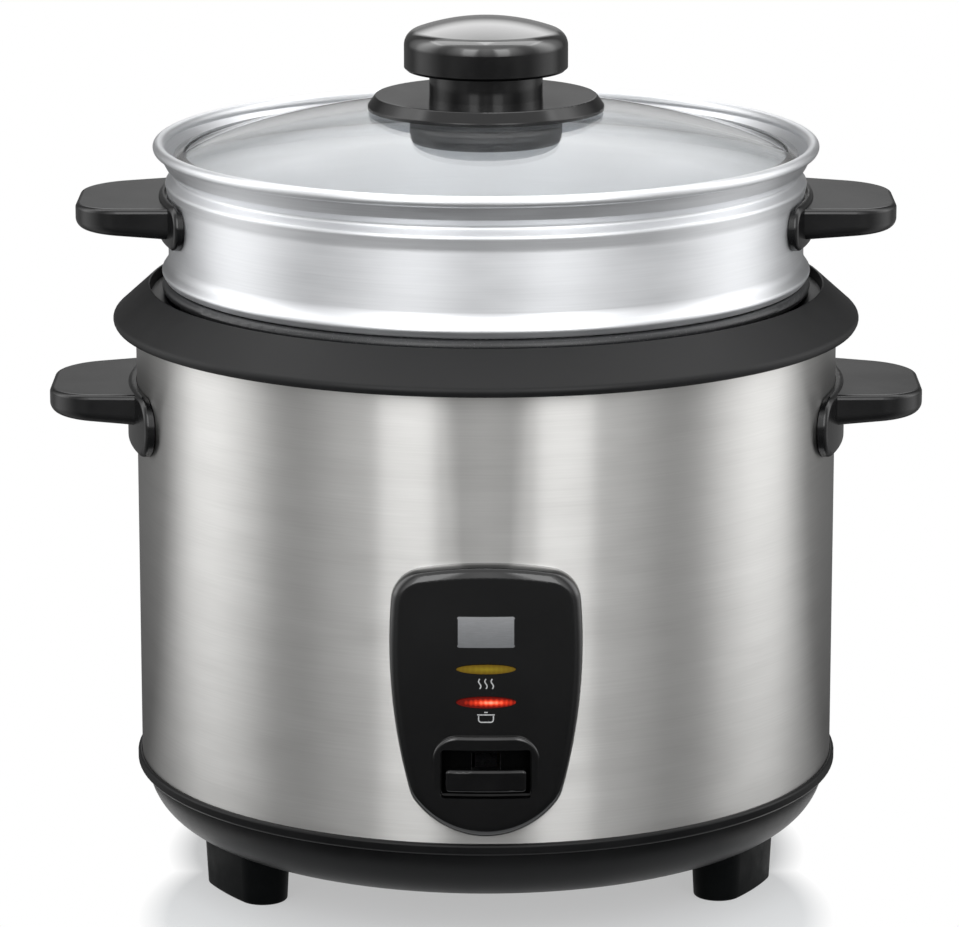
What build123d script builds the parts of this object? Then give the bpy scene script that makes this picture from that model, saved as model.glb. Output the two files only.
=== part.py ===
from build123d import *
import os
from math import asin, cos, degrees, hypot, radians, sin, sqrt

# Drum rice cooker with a steamer basket and a glass lid. Millimetres, +Z up, front towards -Y.
# The origin is on the drum's axis, on the floor that the feet stand on.

# Clearances
FIT = 0.2           # between fixed pieces that slot together
SEAT = 0.3          # between a piece that lifts off, or a switch tip, and what it rests on
RUN = 0.05          # radial, between a pin and what turns or slides on it
HOLE_FIT = 0.1      # radial, between a screw and its hole

# Outer steel shell
SHELL_R = 130.0
SHELL_T = 0.8
SHELL_H = 171.0
SHELL_LAP = 3.0     # the sheet drops this far inside the base's lip

# Base cover and feet
FOOT_H = 17.0
BASE_DEPTH = 25.0
BASE_T = 2.5
LIP_OUT = 1.6       # the base's beaded lip beyond the shell
LIP_R = SHELL_R + LIP_OUT
LIP_H = 4.2
LIP_EDGE = 1.2
LIP_STEP = 3.6      # the bowl's top inside the lip
BASE_ROUND = 24.6   # from the lip in to the flat floor
BASE_FLAT_R = LIP_R - BASE_ROUND
FOOT_INSET = 3.0    # the feet's middle line inside the flat floor's edge
FOOT_R = BASE_FLAT_R - FOOT_INSET
FOOT_W = 20.0
FOOT_ARC = 13.0     # degrees between the centres of a foot's two round ends
FOOT_TAPER = 3.0    # degrees of draft
FOOT_EDGE = 1.0
POST_INSET = 6.5    # the posts' circle inside the flat floor's edge
POST_CIRCLE = BASE_FLAT_R - POST_INSET
POST_R = 5.0
VENT_COUNT = 18
VENT_R = 60.0       # middle of the vent slots
VENT_L = 26.0
VENT_W = 4.0

# Top ring
RING_OVERHANG = 8.9     # the ring's edge beyond the shell
RING_R = SHELL_R + RING_OVERHANG
RING_MOUTH_IN = 5.5     # the ring's mouth inside the shell
RING_MOUTH_R = SHELL_R - RING_MOUTH_IN
RING_H = 15.3
RING_LAP = 4.4      # the ring hangs this far over the shell's top edge
RING_EDGE_H = 2.4   # height of the ring's rounded outer edge
RING_UNDERCUT = 1.4
LEDGE_DROP = 5.4    # the liner's ledge below the mouth's edge

# Inner liner and pot
HEATER_ROOM = 37.2      # the liner's underside above the base's lip
LINER_GAP = 11.4        # between the shell's outside and the liner
LINER_R = SHELL_R - LINER_GAP
LINER_T = 0.8
LINER_DEPTH = SHELL_H - SHELL_LAP - RING_LAP + RING_H - LEDGE_DROP - HEATER_ROOM
LINER_CORNER = 12.0
LINER_BEND = 1.0        # bend under the liner's flange
POT_GAP = 5.1           # between the liner and the pot
POT_R = LINER_R - POT_GAP
POT_T = 2.0
POT_CORNER = 22.0
POT_RIM_OUT = 6.5
POT_RIM_R = POT_R + POT_RIM_OUT
POT_RIM_TUBE = 2.4
POT_RIM_GAP = 1.0
POT_FLARE_H = 5.5

# Heating plate and element
PLATE_INSET = 21.5      # the plate's edge inside the pot's wall
PLATE_R = POT_R - PLATE_INSET
PLATE_T = 13.0
PLATE_LEG_H = 6.0
PLATE_LEG_R = 6.0
PLATE_LEG_INSET = 17.0  # the legs' circle inside the plate's edge
PLATE_LEG_CIRCLE = PLATE_R - PLATE_LEG_INSET
PLATE_HOLE_R = 15.0
ELEMENT_R = 50.0
ELEMENT_TUBE = 4.5
ELEMENT_ARC = 320.0
ELEMENT_ROOM = 5.0      # the hole in the liner's floor beyond the element's circle
LINER_HOLE_R = ELEMENT_R + ELEMENT_ROOM
TERMINAL_H = 9.0
TERMINAL_R = 2.0

# Steamer basket
STEAMER_OUT = 4.0       # the steamer's wall beyond the pot's
STEAMER_R = POT_R + STEAMER_OUT
STEAMER_T = 1.0
FLARE_OUT = 2.8
STEAMER_FLARE_R = STEAMER_R + FLARE_OUT
STEAMER_FLARE_H = 7.0
STEAMER_WALL_H = 23.8   # plain wall between the flare and the ridge
RIDGE_H = 5.1
RIDGE_OUT = 1.1
GROOVE_H = 6.0          # from the ridge to the collar's foot
GROOVE_IN = 2.3
COLLAR_H = 5.7
COLLAR_FOOT_OUT = 0.5
COLLAR_TOP_OUT = 3.5
BEAD_OUT = 3.25         # middle of the rolled rim beyond the wall
BEAD_R = STEAMER_R + BEAD_OUT
BEAD_TUBE = 2.0
SPIGOT_GAP = 1.1
SPIGOT_R = POT_R - POT_T - SPIGOT_GAP
SPIGOT_DEPTH = 16.4
SPIGOT_CORNER = 5.0
STEAM_FLOOR_GAP = 0.4   # between the perforated floor's edge and the spigot's rounded corner
STEAM_FLOOR_R = SPIGOT_R - SPIGOT_CORNER - STEAM_FLOOR_GAP
STEAM_LEDGE = 5.0       # width of the ledge that carries the perforated floor
STEAM_HOLE_R = 3.5
STEAM_RINGS = 5
STEAM_EDGE = 10.0       # from the outer ring of holes to the floor's edge
STEAM_PITCH = (STEAM_FLOOR_R - STEAM_EDGE) / STEAM_RINGS

# Glass lid
LID_GAP = 2.2           # between the lid and the steamer's wall
LID_R = STEAMER_R - LID_GAP
BAND_T = 0.8
BAND_LIP = 3.8
LID_SEAT_RISE = 1.9     # the band's lower edge above the middle of the steamer's groove
GLASS_T = 4.0
GLASS_EDGE_H = 4.4
DOME_R = 353.6
EYELET_Y = 72.0
EYELET_R = 3.0
EYELET_BORE = 2.0
EYELET_FLANGE = 5.5
EYELET_T = 0.8

# Knob
SKIRT_R = 43.6
SKIRT_BEVEL_W = 2.7
SKIRT_TOP_R = SKIRT_R - SKIRT_BEVEL_W
SKIRT_LAND = 1.5        # flat ring between the bevel and the dish
SKIRT_EDGE_H = 1.2
SKIRT_BEVEL_H = 3.8
SKIRT_DISH = 0.7
GASKET_T = 0.6
GASKET_R = 39.0
GASKET_FILM = 0.05
STEM_R = 20.9
KNOB_GAP = 9.4          # finger room between the skirt's edge and the cap
CAP_R = 30.2
CAP_H = 19.4
CAP_CROWN_H = 6.2       # rise of the domed top over the wall's corner
CAP_SHOULDER = 6.0      # round between wall and top
CAP_LOW_EDGE = 1.0
BOSS_R = 28.0
BOSS_H = 12.0
BOSS_EDGE = 2.0
KNOB_SCREW_R = 2.5
KNOB_SCREW_L = 27.0
KNOB_SCREW_HEAD_R = 5.3
KNOB_SCREW_SINK = 1.0   # the screw's head inside the boss
KNOB_HOLE_GAP = 1.5     # between the screw and the glass

# Side handles: grip and mounting plate
BODY_GRIP_REACH = 31.7      # from the wall to the tip
STEAMER_GRIP_REACH = 33.5
GRIP_ROOT_W = 69.0
GRIP_TIP_W = 56.0
GRIP_CORNER = 20.0
GRIP_H = 11.7
GRIP_TIP_H = 9.3
GRIP_TOP_EDGE = 1.8
GRIP_EDGE = 4.0             # round along the grip's underside
HANDLE_PLATE_T = 3.2
HANDLE_PLATE_EDGE = 2.0
HANDLE_PLATE_CORNER = 0.46  # of the plate's height
BODY_PLATE_W = 98.0
BODY_PLATE_H = 22.6
BODY_PLATE_UP = 0.8         # the plate's top above the grip's top
BODY_GRIP_DROP = 26.5       # the grip's top below the shell's top
STEAMER_PLATE_W = 87.0
STEAMER_PLATE_H = 16.9
STEAMER_PLATE_UP = 1.9
STEAMER_GRIP_RISE = 30.4    # the grip's top above the steamer's foot
HANDLE_SCREW_SPREAD = 22.0  # half the distance between a handle's two screws

# Small screws
SCREW_R = 1.8
SCREW_L = 10.0
SCREW_HEAD_R = 3.8
SCREW_HEAD_H = 2.2
BASE_SCREW_HEAD_R = 2.9

# Front panel
PANEL_RISE = 3.5        # the panel's foot above the base's lip
PANEL_H = 99.4
PANEL_T = 6.0
PANEL_TOP_W = 65.0
PANEL_WAIST_W = 67.0
PANEL_FOOT_W = 53.0
PANEL_TOP_BOW = 4.5
PANEL_FOOT_BOW = 14.5
PANEL_TOP_CORNER = 13.0
PANEL_FOOT_CORNER = 12.0
PANEL_EDGE = 4.5
HOOD_W = 38.0
HOOD_T = 1.9
HOOD_TOP_BORDER = 4.9
HOOD_FOOT_BORDER = 2.0
HOOD_CORNER = 9.0
HOOD_EDGE = 1.2
LENS_W = 20.8
LENS_PROUD = 0.4
WARM_LENS_H = 3.4
WARM_LENS_RISE = 62.4   # above the panel's foot
COOK_LENS_H = 4.0
COOK_LENS_RISE = 50.3
PANEL_SCREW_TOP = 85.9  # above the panel's foot
PANEL_SCREW_FOOT = 8.9

# Lamps behind the lenses
LAMP_R = 2.4
HOLDER_W = 24.0
HOLDER_H = 24.0
HOLDER_T = 1.5
HOLDER_D = 9.0

# Cook and warm lever
KEY_RISE = 25.1         # the lever's pivot and the key's middle above the base's lip
KEY_W = 28.6
KEY_H = 8.3
KEY_T = 4.6
KEY_SINK = 2.5          # room under the key
KEY_HEADROOM = 0.5      # room over the raised key
POCKET_W = 32.2
POCKET_FLOOR = 1.3      # panel left behind the key
PIVOT_Y = -62.0
LEVER_SWING = 5.2       # degrees from cook to warm
LEVER_W = 8.0
LEVER_T = 3.0
LEVER_SLOT_GAP = 1.0
LEVER_KEY_LAP = 3.0
LEVER_HUB_R = 5.0
LEVER_PAD_R = 8.0
PIN_R = 2.0
BRACKET_T = 1.5
BRACKET_GAP = 1.0
BRACKET_W = 36.0
BRACKET_L = 28.0
BRACKET_EAR_L = 16.0

# Micro switch under the lever
SWITCH_Y = -80.0
SWITCH_L = 20.0
SWITCH_W = 6.4
SWITCH_H = 10.0
PLUNGER_R = 1.2
PLUNGER_OUT = 5.0
PLUNGER_IN = 3.0

# Magnetic thermostat
CUP_R = 14.0
CUP_T = 0.8
CUP_H = 17.8
CUP_FLANGE = 18.0
FERRITE_R = 13.0
FERRITE_H = 5.9
MAGNET_R = 9.0
MAGNET_H = 5.0
CARRIER_R = 12.5
CARRIER_H = 2.0
ROD_R = 2.0
COLLAR_R = 5.5
COLLAR_T = 1.5
COLLAR_SLACK = 0.85     # above and below the lever's pad
ROD_HOLE_R = 3.2
HOUSING_R = 21.0
HOUSING_T = 1.2
HOUSING_FLANGE = 28.0
HOUSING_H = 13.0
SENSOR_SPRING_R = 16.0
SENSOR_SPRING_WIRE = 0.6
SENSOR_SPRING_TURNS = 3.5
RELEASE_SPRING_R = 11.0
RELEASE_SPRING_WIRE = 0.4
RELEASE_SPRING_TURNS = 3.0

# Keep-warm thermostat and thermal fuse under the plate
WARMER_R = 8.0
WARMER_H = 9.0
WARMER_X = 36.5
FUSE_R = 2.5
FUSE_L = 16.0
FUSE_CLIP_L = 10.0
FUSE_CLIP_W = 9.0
FUSE_CLIP_H = 7.0

# Power inlet at the back
INLET_RISE = 18.0       # middle above the base's lip
INLET_W = 32.0
INLET_H = 20.0
INLET_WALL = 3.0
INLET_PROUD = 7.5       # rim beyond the shell
INLET_DEPTH = 17.5      # depth of the socket
INLET_BACK = 8.0
INLET_CORNER = 4.0
INLET_FLANGE_W = 52.0
INLET_FLANGE_H = 26.0
INLET_FLANGE_T = 2.5
INLET_PIN_R = 2.0
INLET_PIN_PITCH = 7.5
INLET_PIN_OUT = 11.0
INLET_TAB_L = 6.0
INLET_SCREW_X = 20.8

# Wires under the plate
WIRE_R = 1.3
WIRE_BEND = 6.0
WIRE_RUN = 26.0         # straight run behind the inlet
WIRE_LOW = 12.0         # the switch's wires above the base's floor
WIRE_CROSSING = 6.0     # between two wires that cross

# Levels worked out from the sizes above
lip_z = FOOT_H + BASE_DEPTH
bowl_z = lip_z - LIP_H
bowl_r = LIP_R - LIP_STEP
shell_z0 = lip_z - SHELL_LAP
shell_z1 = shell_z0 + SHELL_H
shell_in = SHELL_R - SHELL_T
ring_z0 = shell_z1 - RING_LAP
ring_z1 = ring_z0 + RING_H
ledge_z = ring_z1 - LEDGE_DROP
liner_z0 = ledge_z - LINER_DEPTH
liner_floor_z = liner_z0 + LINER_T
plate_z0 = liner_floor_z + PLATE_LEG_H
plate_z1 = plate_z0 + PLATE_T
pot_z0 = plate_z1 + SEAT
pot_rim_z = ledge_z + LINER_T + POT_RIM_GAP + POT_RIM_TUBE
steamer_z0 = pot_rim_z + POT_RIM_TUBE + SEAT
wall_z0 = steamer_z0 + STEAMER_FLARE_H
wall_z1 = wall_z0 + STEAMER_WALL_H
ridge_z = wall_z1 + RIDGE_H
groove_z = ridge_z + GROOVE_H / 2
collar_z = ridge_z + GROOVE_H
collar_z1 = collar_z + COLLAR_H
bead_z = collar_z1 + BEAD_TUBE * 0.65
spigot_z = steamer_z0 - SPIGOT_DEPTH
steam_floor_z = spigot_z + STEAMER_T
lid_z0 = groove_z + LID_SEAT_RISE
glass_r = LID_R - BAND_T - FIT
glass_edge_z = lid_z0 + GLASS_EDGE_H
dome_mid_z = glass_edge_z - sqrt(DOME_R**2 - glass_r**2)
apex_z = dome_mid_z + DOME_R


def dome_z(r, inset=0.0):
    """Height at radius r of a sphere that lies inset below the glass's outer face."""
    return dome_mid_z + sqrt((DOME_R - inset) ** 2 - r**2)


skirt_z0 = dome_z(SKIRT_R) + GASKET_T
skirt_z1 = skirt_z0 + SKIRT_EDGE_H + SKIRT_BEVEL_H
stem_z = skirt_z1 - SKIRT_DISH
cap_z0 = skirt_z1 + KNOB_GAP
cap_z1 = cap_z0 + CAP_H
boss_z0 = dome_z(0, GLASS_T) - BOSS_H
knob_screw_z = boss_z0 + KNOB_SCREW_SINK + SCREW_HEAD_H
body_grip_z = shell_z1 - BODY_GRIP_DROP
steamer_grip_z = steamer_z0 + STEAMER_GRIP_RISE
panel_z0 = lip_z + PANEL_RISE
panel_r0 = SHELL_R + FIT
panel_r1 = panel_r0 + PANEL_T
hood_r = panel_r1 + HOOD_T
pivot_z = lip_z + KEY_RISE
key_r0 = hood_r - HOOD_T / 4 - KEY_T
key_r1 = key_r0 + KEY_T
key_lift = (key_r1 + PIVOT_Y) * sin(radians(LEVER_SWING))
pocket_z0 = pivot_z - KEY_H / 2 - KEY_SINK
pocket_z1 = pivot_z + KEY_H / 2 + key_lift + KEY_HEADROOM
warm_z = panel_z0 + WARM_LENS_RISE
cook_z = panel_z0 + COOK_LENS_RISE
inlet_z = lip_z + INLET_RISE
cup_z1 = pot_z0 - SEAT
cup_z0 = cup_z1 - CUP_H
ferrite_z0 = cup_z1 - CUP_T - HOLE_FIT - FERRITE_H
magnet_z1 = ferrite_z0 - SEAT
magnet_z0 = magnet_z1 - MAGNET_H
carrier_z0 = magnet_z0 - CARRIER_H
housing_z0 = plate_z0 - HOUSING_H
collar_top_z = pivot_z + LEVER_T / 2 + COLLAR_SLACK
collar_low_z = pivot_z - LEVER_T / 2 - COLLAR_SLACK - COLLAR_T

# Directions of the feet and of the plate's legs, in degrees from +X
FOOT_ANGLES = {"foot_front_right": -28.0, "foot_front_left": 211.3, "foot_rear": 90.0}
LEG_ANGLES = (90.0, 210.0, 330.0)

LOW = (Align.CENTER, Align.CENTER, Align.MIN)


def drum(r, z0, z1):
    """Upright cylinder on the axis."""
    return Pos(0, 0, z0) * Cylinder(r, z1 - z0, align=LOW)


def tube(r_in, r_out, z0, z1):
    """Upright hollow cylinder on the axis."""
    return drum(r_out, z0, z1) - drum(r_in, z0, z1)


def block(x0, x1, y0, y1, z0, z1):
    """Box between two corners."""
    middle = Pos((x0 + x1) / 2, (y0 + y1) / 2, (z0 + z1) / 2)
    return middle * Box(x1 - x0, y1 - y0, z1 - z0)


def turned(*points, radii=0):
    """Solid turned about Z from a closed outline of (radius, height) points."""
    corners = radii if isinstance(radii, (list, tuple)) else [radii] * len(points)
    outline = FilletPolyline(*points, radius=corners, close=True)
    return revolve(Plane.XZ * make_face(outline), Axis.Z)


def pressed(points, radii, thickness):
    """Sheet turned about Z from the line of its lower, outer face."""
    line = FilletPolyline(*points, radius=radii)
    section = make_face(offset(line, amount=thickness, side=Side.LEFT))
    return revolve(Plane.XZ * section, Axis.Z)


def rolled_rim(r, z, wire):
    """Ring of round section."""
    return Pos(0, 0, z) * Torus(r, wire)


def around(shape, angles):
    """Copies of a shape turned about Z."""
    return [Rot(0, 0, angle) * shape for angle in angles]


def polar(r, angle, z):
    """Place on a circle about Z."""
    return Pos(r * cos(radians(angle)), r * sin(radians(angle)), z)


def upright_screw(z_head, length, head_r=SCREW_HEAD_R):
    """Screw that points up, its head's upper face at z_head."""
    shank = drum(SCREW_R, z_head, z_head + length)
    return shank + drum(head_r, z_head - SCREW_HEAD_H, z_head)


def radial_screw(r_head, z, length):
    """Screw that points outwards along +X, its head's outer face at r_head."""
    return Pos(0, 0, z) * Rot(0, 90, 0) * upright_screw(r_head, length)


def radial_hole(r0, r1, z, r):
    """Drill along +X from radius r0 to r1."""
    return Pos(0, 0, z) * Rot(0, 90, 0) * drum(r, r0, r1)


def front_outline(sketch):
    """Sketch in (x, z) swept from the axis to well past the front."""
    return extrude(Plane.XZ * sketch, amount=2 * SHELL_R)


def front_box(width, z0, z1, corner):
    """Rounded box, seen from the front, swept like front_outline."""
    return front_outline(Pos(0, (z0 + z1) / 2) * RectangleRounded(width, z1 - z0, corner))


def front_shell(swept, r0, r1):
    """Part of a swept outline that lies between two radii."""
    return swept & tube(r0, r1, 0, cap_z1)


# Lid

def lid_glass():
    """Domed glass with a hole for the knob's screw and one for the steam vent."""
    hole = KNOB_SCREW_R + KNOB_HOLE_GAP
    middle = (hole + glass_r) / 2
    top = ThreePointArc((hole, dome_z(hole)), (middle, dome_z(middle)), (glass_r, glass_edge_z))
    edge = Line(top @ 1, (glass_r, dome_z(glass_r, GLASS_T)))
    under = ThreePointArc(edge @ 1, (middle, dome_z(middle, GLASS_T)), (hole, dome_z(hole, GLASS_T)))
    bore = Line(under @ 1, top @ 0)
    glass = revolve(Plane.XZ * make_face(top + edge + under + bore), Axis.Z)
    return glass - vent_place() * Cylinder(EYELET_R + HOLE_FIT, 4 * GLASS_T)


def vent_place():
    """Frame on the glass at the vent, its Z along the glass's normal."""
    return Pos(0, EYELET_Y, dome_z(EYELET_Y)) * Rot(-degrees(asin(EYELET_Y / DOME_R)), 0, 0)


def vent_eyelet():
    """Steel eyelet rolled over on both faces of the glass."""
    length = GLASS_T + 2 * GASKET_FILM
    eyelet = drum(EYELET_R, -length, GASKET_FILM)
    eyelet += drum(EYELET_FLANGE, 0, EYELET_T)
    eyelet += drum(EYELET_FLANGE, -length - EYELET_T, -length)
    eyelet -= drum(EYELET_BORE, -2 * GLASS_T, GLASS_T)
    return vent_place() * eyelet


def lid_rim_band():
    """Steel band folded over the glass's edge."""
    fold_r = LID_R - BAND_LIP
    wall_r = LID_R - BAND_T
    return turned(
        (wall_r, lid_z0),
        (LID_R, lid_z0),
        (LID_R, dome_z(LID_R) + BAND_T + HOLE_FIT),
        (fold_r, dome_z(fold_r) + BAND_T + HOLE_FIT),
        (fold_r, dome_z(fold_r) + HOLE_FIT),
        (wall_r, dome_z(wall_r) + HOLE_FIT),
        radii=[0, 0, BAND_T, 0, 0, 0],
    )


def dome_ball(inset):
    """Ball whose face lies inset below the glass's outer face."""
    return Pos(0, 0, dome_mid_z) * Sphere(DOME_R - inset)


def knob_skirt():
    """Bevelled disc under the knob, hollowed to lie on the domed glass."""
    bore = KNOB_SCREW_R + HOLE_FIT
    disc = turned(
        (bore, skirt_z0 - 1),
        (SKIRT_R, skirt_z0 - 1),
        (SKIRT_R, skirt_z0 + SKIRT_EDGE_H),
        (SKIRT_TOP_R, skirt_z1),
        (SKIRT_TOP_R - SKIRT_LAND, skirt_z1),
        (STEM_R, stem_z),
        (bore, stem_z),
        radii=[0, 0, 0.6, 0.7, 0.6, 0, 0],
    )
    return disc - dome_ball(-GASKET_T)


def knob_gasket():
    """Thin silicone ring between the skirt and the glass."""
    ring = tube(KNOB_SCREW_R + KNOB_HOLE_GAP, GASKET_R, boss_z0, skirt_z1)
    return (ring & dome_ball(GASKET_FILM - GASKET_T)) - dome_ball(-GASKET_FILM)


def knob_boss():
    """Round nut plate under the glass that takes the screw's head."""
    bore = KNOB_SCREW_R + HOLE_FIT
    puck = turned(
        (bore, boss_z0),
        (BOSS_R, boss_z0),
        (BOSS_R, apex_z),
        (bore, apex_z),
        radii=[0, BOSS_EDGE, 0, 0],
    )
    puck -= drum(KNOB_SCREW_HEAD_R + FIT, boss_z0 - 1, knob_screw_z)
    return puck & dome_ball(GLASS_T + GASKET_FILM)


def knob_screw():
    """Screw through boss, glass and skirt into the knob's stem."""
    head = drum(KNOB_SCREW_HEAD_R, knob_screw_z - SCREW_HEAD_H, knob_screw_z)
    return head + drum(KNOB_SCREW_R, knob_screw_z, knob_screw_z + KNOB_SCREW_L)


def crown_z(r):
    """Height of the cap's domed top at radius r."""
    crown_r = (CAP_R**2 + CAP_CROWN_H**2) / (2 * CAP_CROWN_H)
    return cap_z1 - crown_r + sqrt(crown_r**2 - r**2)


def knob():
    """Cap and stem moulded in one, with a domed top."""
    wall = Polyline(
        (0, stem_z),
        (STEM_R, stem_z),
        (STEM_R, cap_z0),
        (CAP_R - CAP_LOW_EDGE, cap_z0),
        (CAP_R, cap_z0 + CAP_LOW_EDGE),
        (CAP_R, cap_z1 - CAP_CROWN_H),
    )
    crown = ThreePointArc(wall @ 1, (CAP_R * 0.6, crown_z(CAP_R * 0.6)), (0, cap_z1))
    face = make_face(wall + crown + Line(crown @ 1, wall @ 0))
    shoulder = [v for v in face.vertices() if abs(v.Y - cap_z1 + CAP_CROWN_H) < 0.01]
    cap = revolve(Plane.XZ * fillet(shoulder, CAP_SHOULDER), Axis.Z)
    return cap - drum(KNOB_SCREW_R + HOLE_FIT, stem_z - 1, knob_screw_z + KNOB_SCREW_L + 1)


# Steamer basket

def steamer_basket():
    """Spun aluminium basket: ledge for the floor, spigot, flared foot, ridge, groove and rolled rim."""
    line = [
        (STEAM_FLOOR_R - STEAM_LEDGE, spigot_z),
        (SPIGOT_R, spigot_z),
        (SPIGOT_R, steamer_z0),
        (STEAMER_FLARE_R - 1.8, steamer_z0),
        (STEAMER_FLARE_R, steamer_z0 + STEAMER_FLARE_H * 0.42),
        (STEAMER_R, wall_z0),
        (STEAMER_R, wall_z1),
        (STEAMER_R + RIDGE_OUT, ridge_z),
        (STEAMER_R - GROOVE_IN, groove_z),
        (STEAMER_R + COLLAR_FOOT_OUT, collar_z),
        (STEAMER_R + COLLAR_TOP_OUT, collar_z1),
    ]
    basket = pressed(line, [SPIGOT_CORNER, 1.5, 1.5, 1.6, 6.0, 6.0, 1.6, 1.2, 1.5], STEAMER_T)
    basket += rolled_rim(BEAD_R, bead_z, BEAD_TUBE)
    screw_hole = radial_hole(SPIGOT_R, STEAMER_FLARE_R, steamer_screw_z, SCREW_R + HOLE_FIT)
    return basket - around(screw_hole, handle_screw_angles(STEAMER_R))


def steamer_floor():
    """Perforated disc that lies on the basket's ledge."""
    disc = drum(STEAM_FLOOR_R, steam_floor_z, steam_floor_z + STEAMER_T)
    drill = drum(STEAM_HOLE_R, steam_floor_z - 1, steam_floor_z + 2 * STEAMER_T)
    holes = [drill]
    for ring in range(1, STEAM_RINGS + 1):
        step = 360 / (6 * ring)
        holes += [polar(ring * STEAM_PITCH, k * step, 0) * drill for k in range(6 * ring)]
    return disc - holes


def handle_screw_angles(wall_r):
    """Directions of both handles' screws on a wall."""
    lean = degrees(asin(HANDLE_SCREW_SPREAD / wall_r))
    return (lean, -lean, 180 - lean, 180 + lean)


def side_handle(wall_r, reach, grip_z, plate_w, plate_h, plate_up):
    """Right-hand handle: a tapered grip on a curved mounting plate."""
    root_x = wall_r - GRIP_H
    tip_x = wall_r + reach
    slope = (GRIP_ROOT_W - GRIP_TIP_W) / 2 / reach
    root_y = GRIP_ROOT_W / 2 + slope * GRIP_H
    tip_y = GRIP_TIP_W / 2
    plan = FilletPolyline(
        (root_x, -root_y),
        (tip_x, -tip_y),
        (tip_x, tip_y),
        (root_x, root_y),
        radius=[0, GRIP_CORNER, GRIP_CORNER, 0],
        close=True,
    )
    low_z = grip_z - GRIP_H
    middle_z = grip_z - GRIP_H / 2
    droop = (GRIP_H - GRIP_TIP_H) / 2
    swell = droop * GRIP_H / reach
    side = Polyline(
        (root_x, grip_z + swell),
        (tip_x, grip_z - droop),
        (tip_x, low_z + droop),
        (root_x, low_z - swell),
        close=True,
    )
    grip = extrude(Plane.XZ * make_face(side), amount=GRIP_ROOT_W, both=True)
    grip &= extrude(Pos(0, 0, low_z - GRIP_H) * make_face(plan), amount=3 * GRIP_H)
    grip = fillet([e for e in grip_rim(grip, root_x) if e.center().Z > middle_z], GRIP_TOP_EDGE)
    grip = fillet([e for e in grip_rim(grip, root_x) if e.center().Z < low_z + droop + FIT], GRIP_EDGE)
    plate_z1 = grip_z + plate_up
    face = RectangleRounded(plate_w, plate_h, HANDLE_PLATE_CORNER * plate_h)
    plate = extrude(Plane.YZ * (Pos(0, plate_z1 - plate_h / 2) * face), amount=2 * wall_r)
    plate &= tube(wall_r + FIT, wall_r + FIT + HANDLE_PLATE_T, 0, cap_z1)
    outer = plate.faces().sort_by(Axis.X)[-1]
    plate = fillet(outer.edges(), HANDLE_PLATE_EDGE)
    handle = plate + (grip - drum(wall_r + FIT, 0, cap_z1))
    hole = radial_hole(wall_r, wall_r + FIT + SCREW_L, middle_z, SCREW_R + HOLE_FIT)
    return handle - around(hole, handle_screw_angles(wall_r)[:2])


def grip_rim(grip, root_x):
    """Edges of a grip that run round it, without those at its root and those that stand upright."""
    return [e for e in grip.edges() if e.center().X > root_x + 1 and abs((e % 0.5).Z) < 0.9]


def handle_screws(wall_r, wall_t, screw_z):
    """Four screws with their heads inside a wall, two for each handle."""
    screw = radial_screw(wall_r - wall_t - HOLE_FIT, screw_z, SCREW_L)
    return Compound(around(screw, handle_screw_angles(wall_r)))


steamer_screw_z = steamer_grip_z - GRIP_H / 2
body_screw_z = body_grip_z - GRIP_H / 2


# Inner pot and body shells

def inner_pot():
    """Drawn pot with a rounded bottom and a rolled rim."""
    rim_r = POT_RIM_R - POT_RIM_TUBE
    line = [
        (0, pot_z0),
        (POT_R, pot_z0),
        (POT_R, pot_rim_z - POT_FLARE_H),
        (rim_r, pot_rim_z - POT_RIM_TUBE / 2),
    ]
    pot = pressed(line, [POT_CORNER, POT_FLARE_H / 2], POT_T)
    return pot + rolled_rim(rim_r, pot_rim_z, POT_RIM_TUBE)


def top_ring():
    """Moulded ring: sloping face outside, ledge for the liner, groove over the shell's edge."""
    bore = LINER_R + FIT
    rib_z = shell_z1 - RING_LAP / 2
    return turned(
        (RING_R - RING_UNDERCUT, ring_z0),
        (RING_R, ring_z0 + RING_EDGE_H),
        (RING_MOUTH_R, ring_z1),
        (RING_MOUTH_R, ledge_z),
        (bore, ledge_z),
        (bore, rib_z),
        (shell_in - FIT, rib_z),
        (shell_in - FIT, shell_z1),
        (SHELL_R + FIT, shell_z1),
        (SHELL_R + FIT, ring_z0),
        radii=[0.6, 2.2, 0.5, 0, LINER_BEND + 2 * FIT, 0, 0, 0, 0, 0],
    )


def outer_shell():
    """Rolled steel drum with openings for the handles' screws, the panel and the inlet."""
    shell = tube(shell_in, SHELL_R, shell_z0, shell_z1)
    screw_hole = radial_hole(shell_in - 2, SHELL_R + 2, body_screw_z, SCREW_R + HOLE_FIT)
    shell -= around(screw_hole, handle_screw_angles(SHELL_R))
    shell -= [panel_screw_place(z) * drum(SCREW_R + HOLE_FIT, shell_in - 2, SHELL_R + 2) for z in panel_screw_zs]
    shell -= lever_slot(LEVER_SLOT_GAP)
    shell -= [front_box(LENS_W - 4, z - 1.2, z + 1.2, 1.0) for z in (warm_z, cook_z)]
    shell -= inlet_sweep(INLET_W + 2 * FIT, INLET_H + 2 * FIT, 0, 2 * SHELL_R)
    shell -= [inlet_screw_place(x) * drum(SCREW_R + HOLE_FIT, 0, 2 * SHELL_R) for x in inlet_screw_xs]
    return shell


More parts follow.
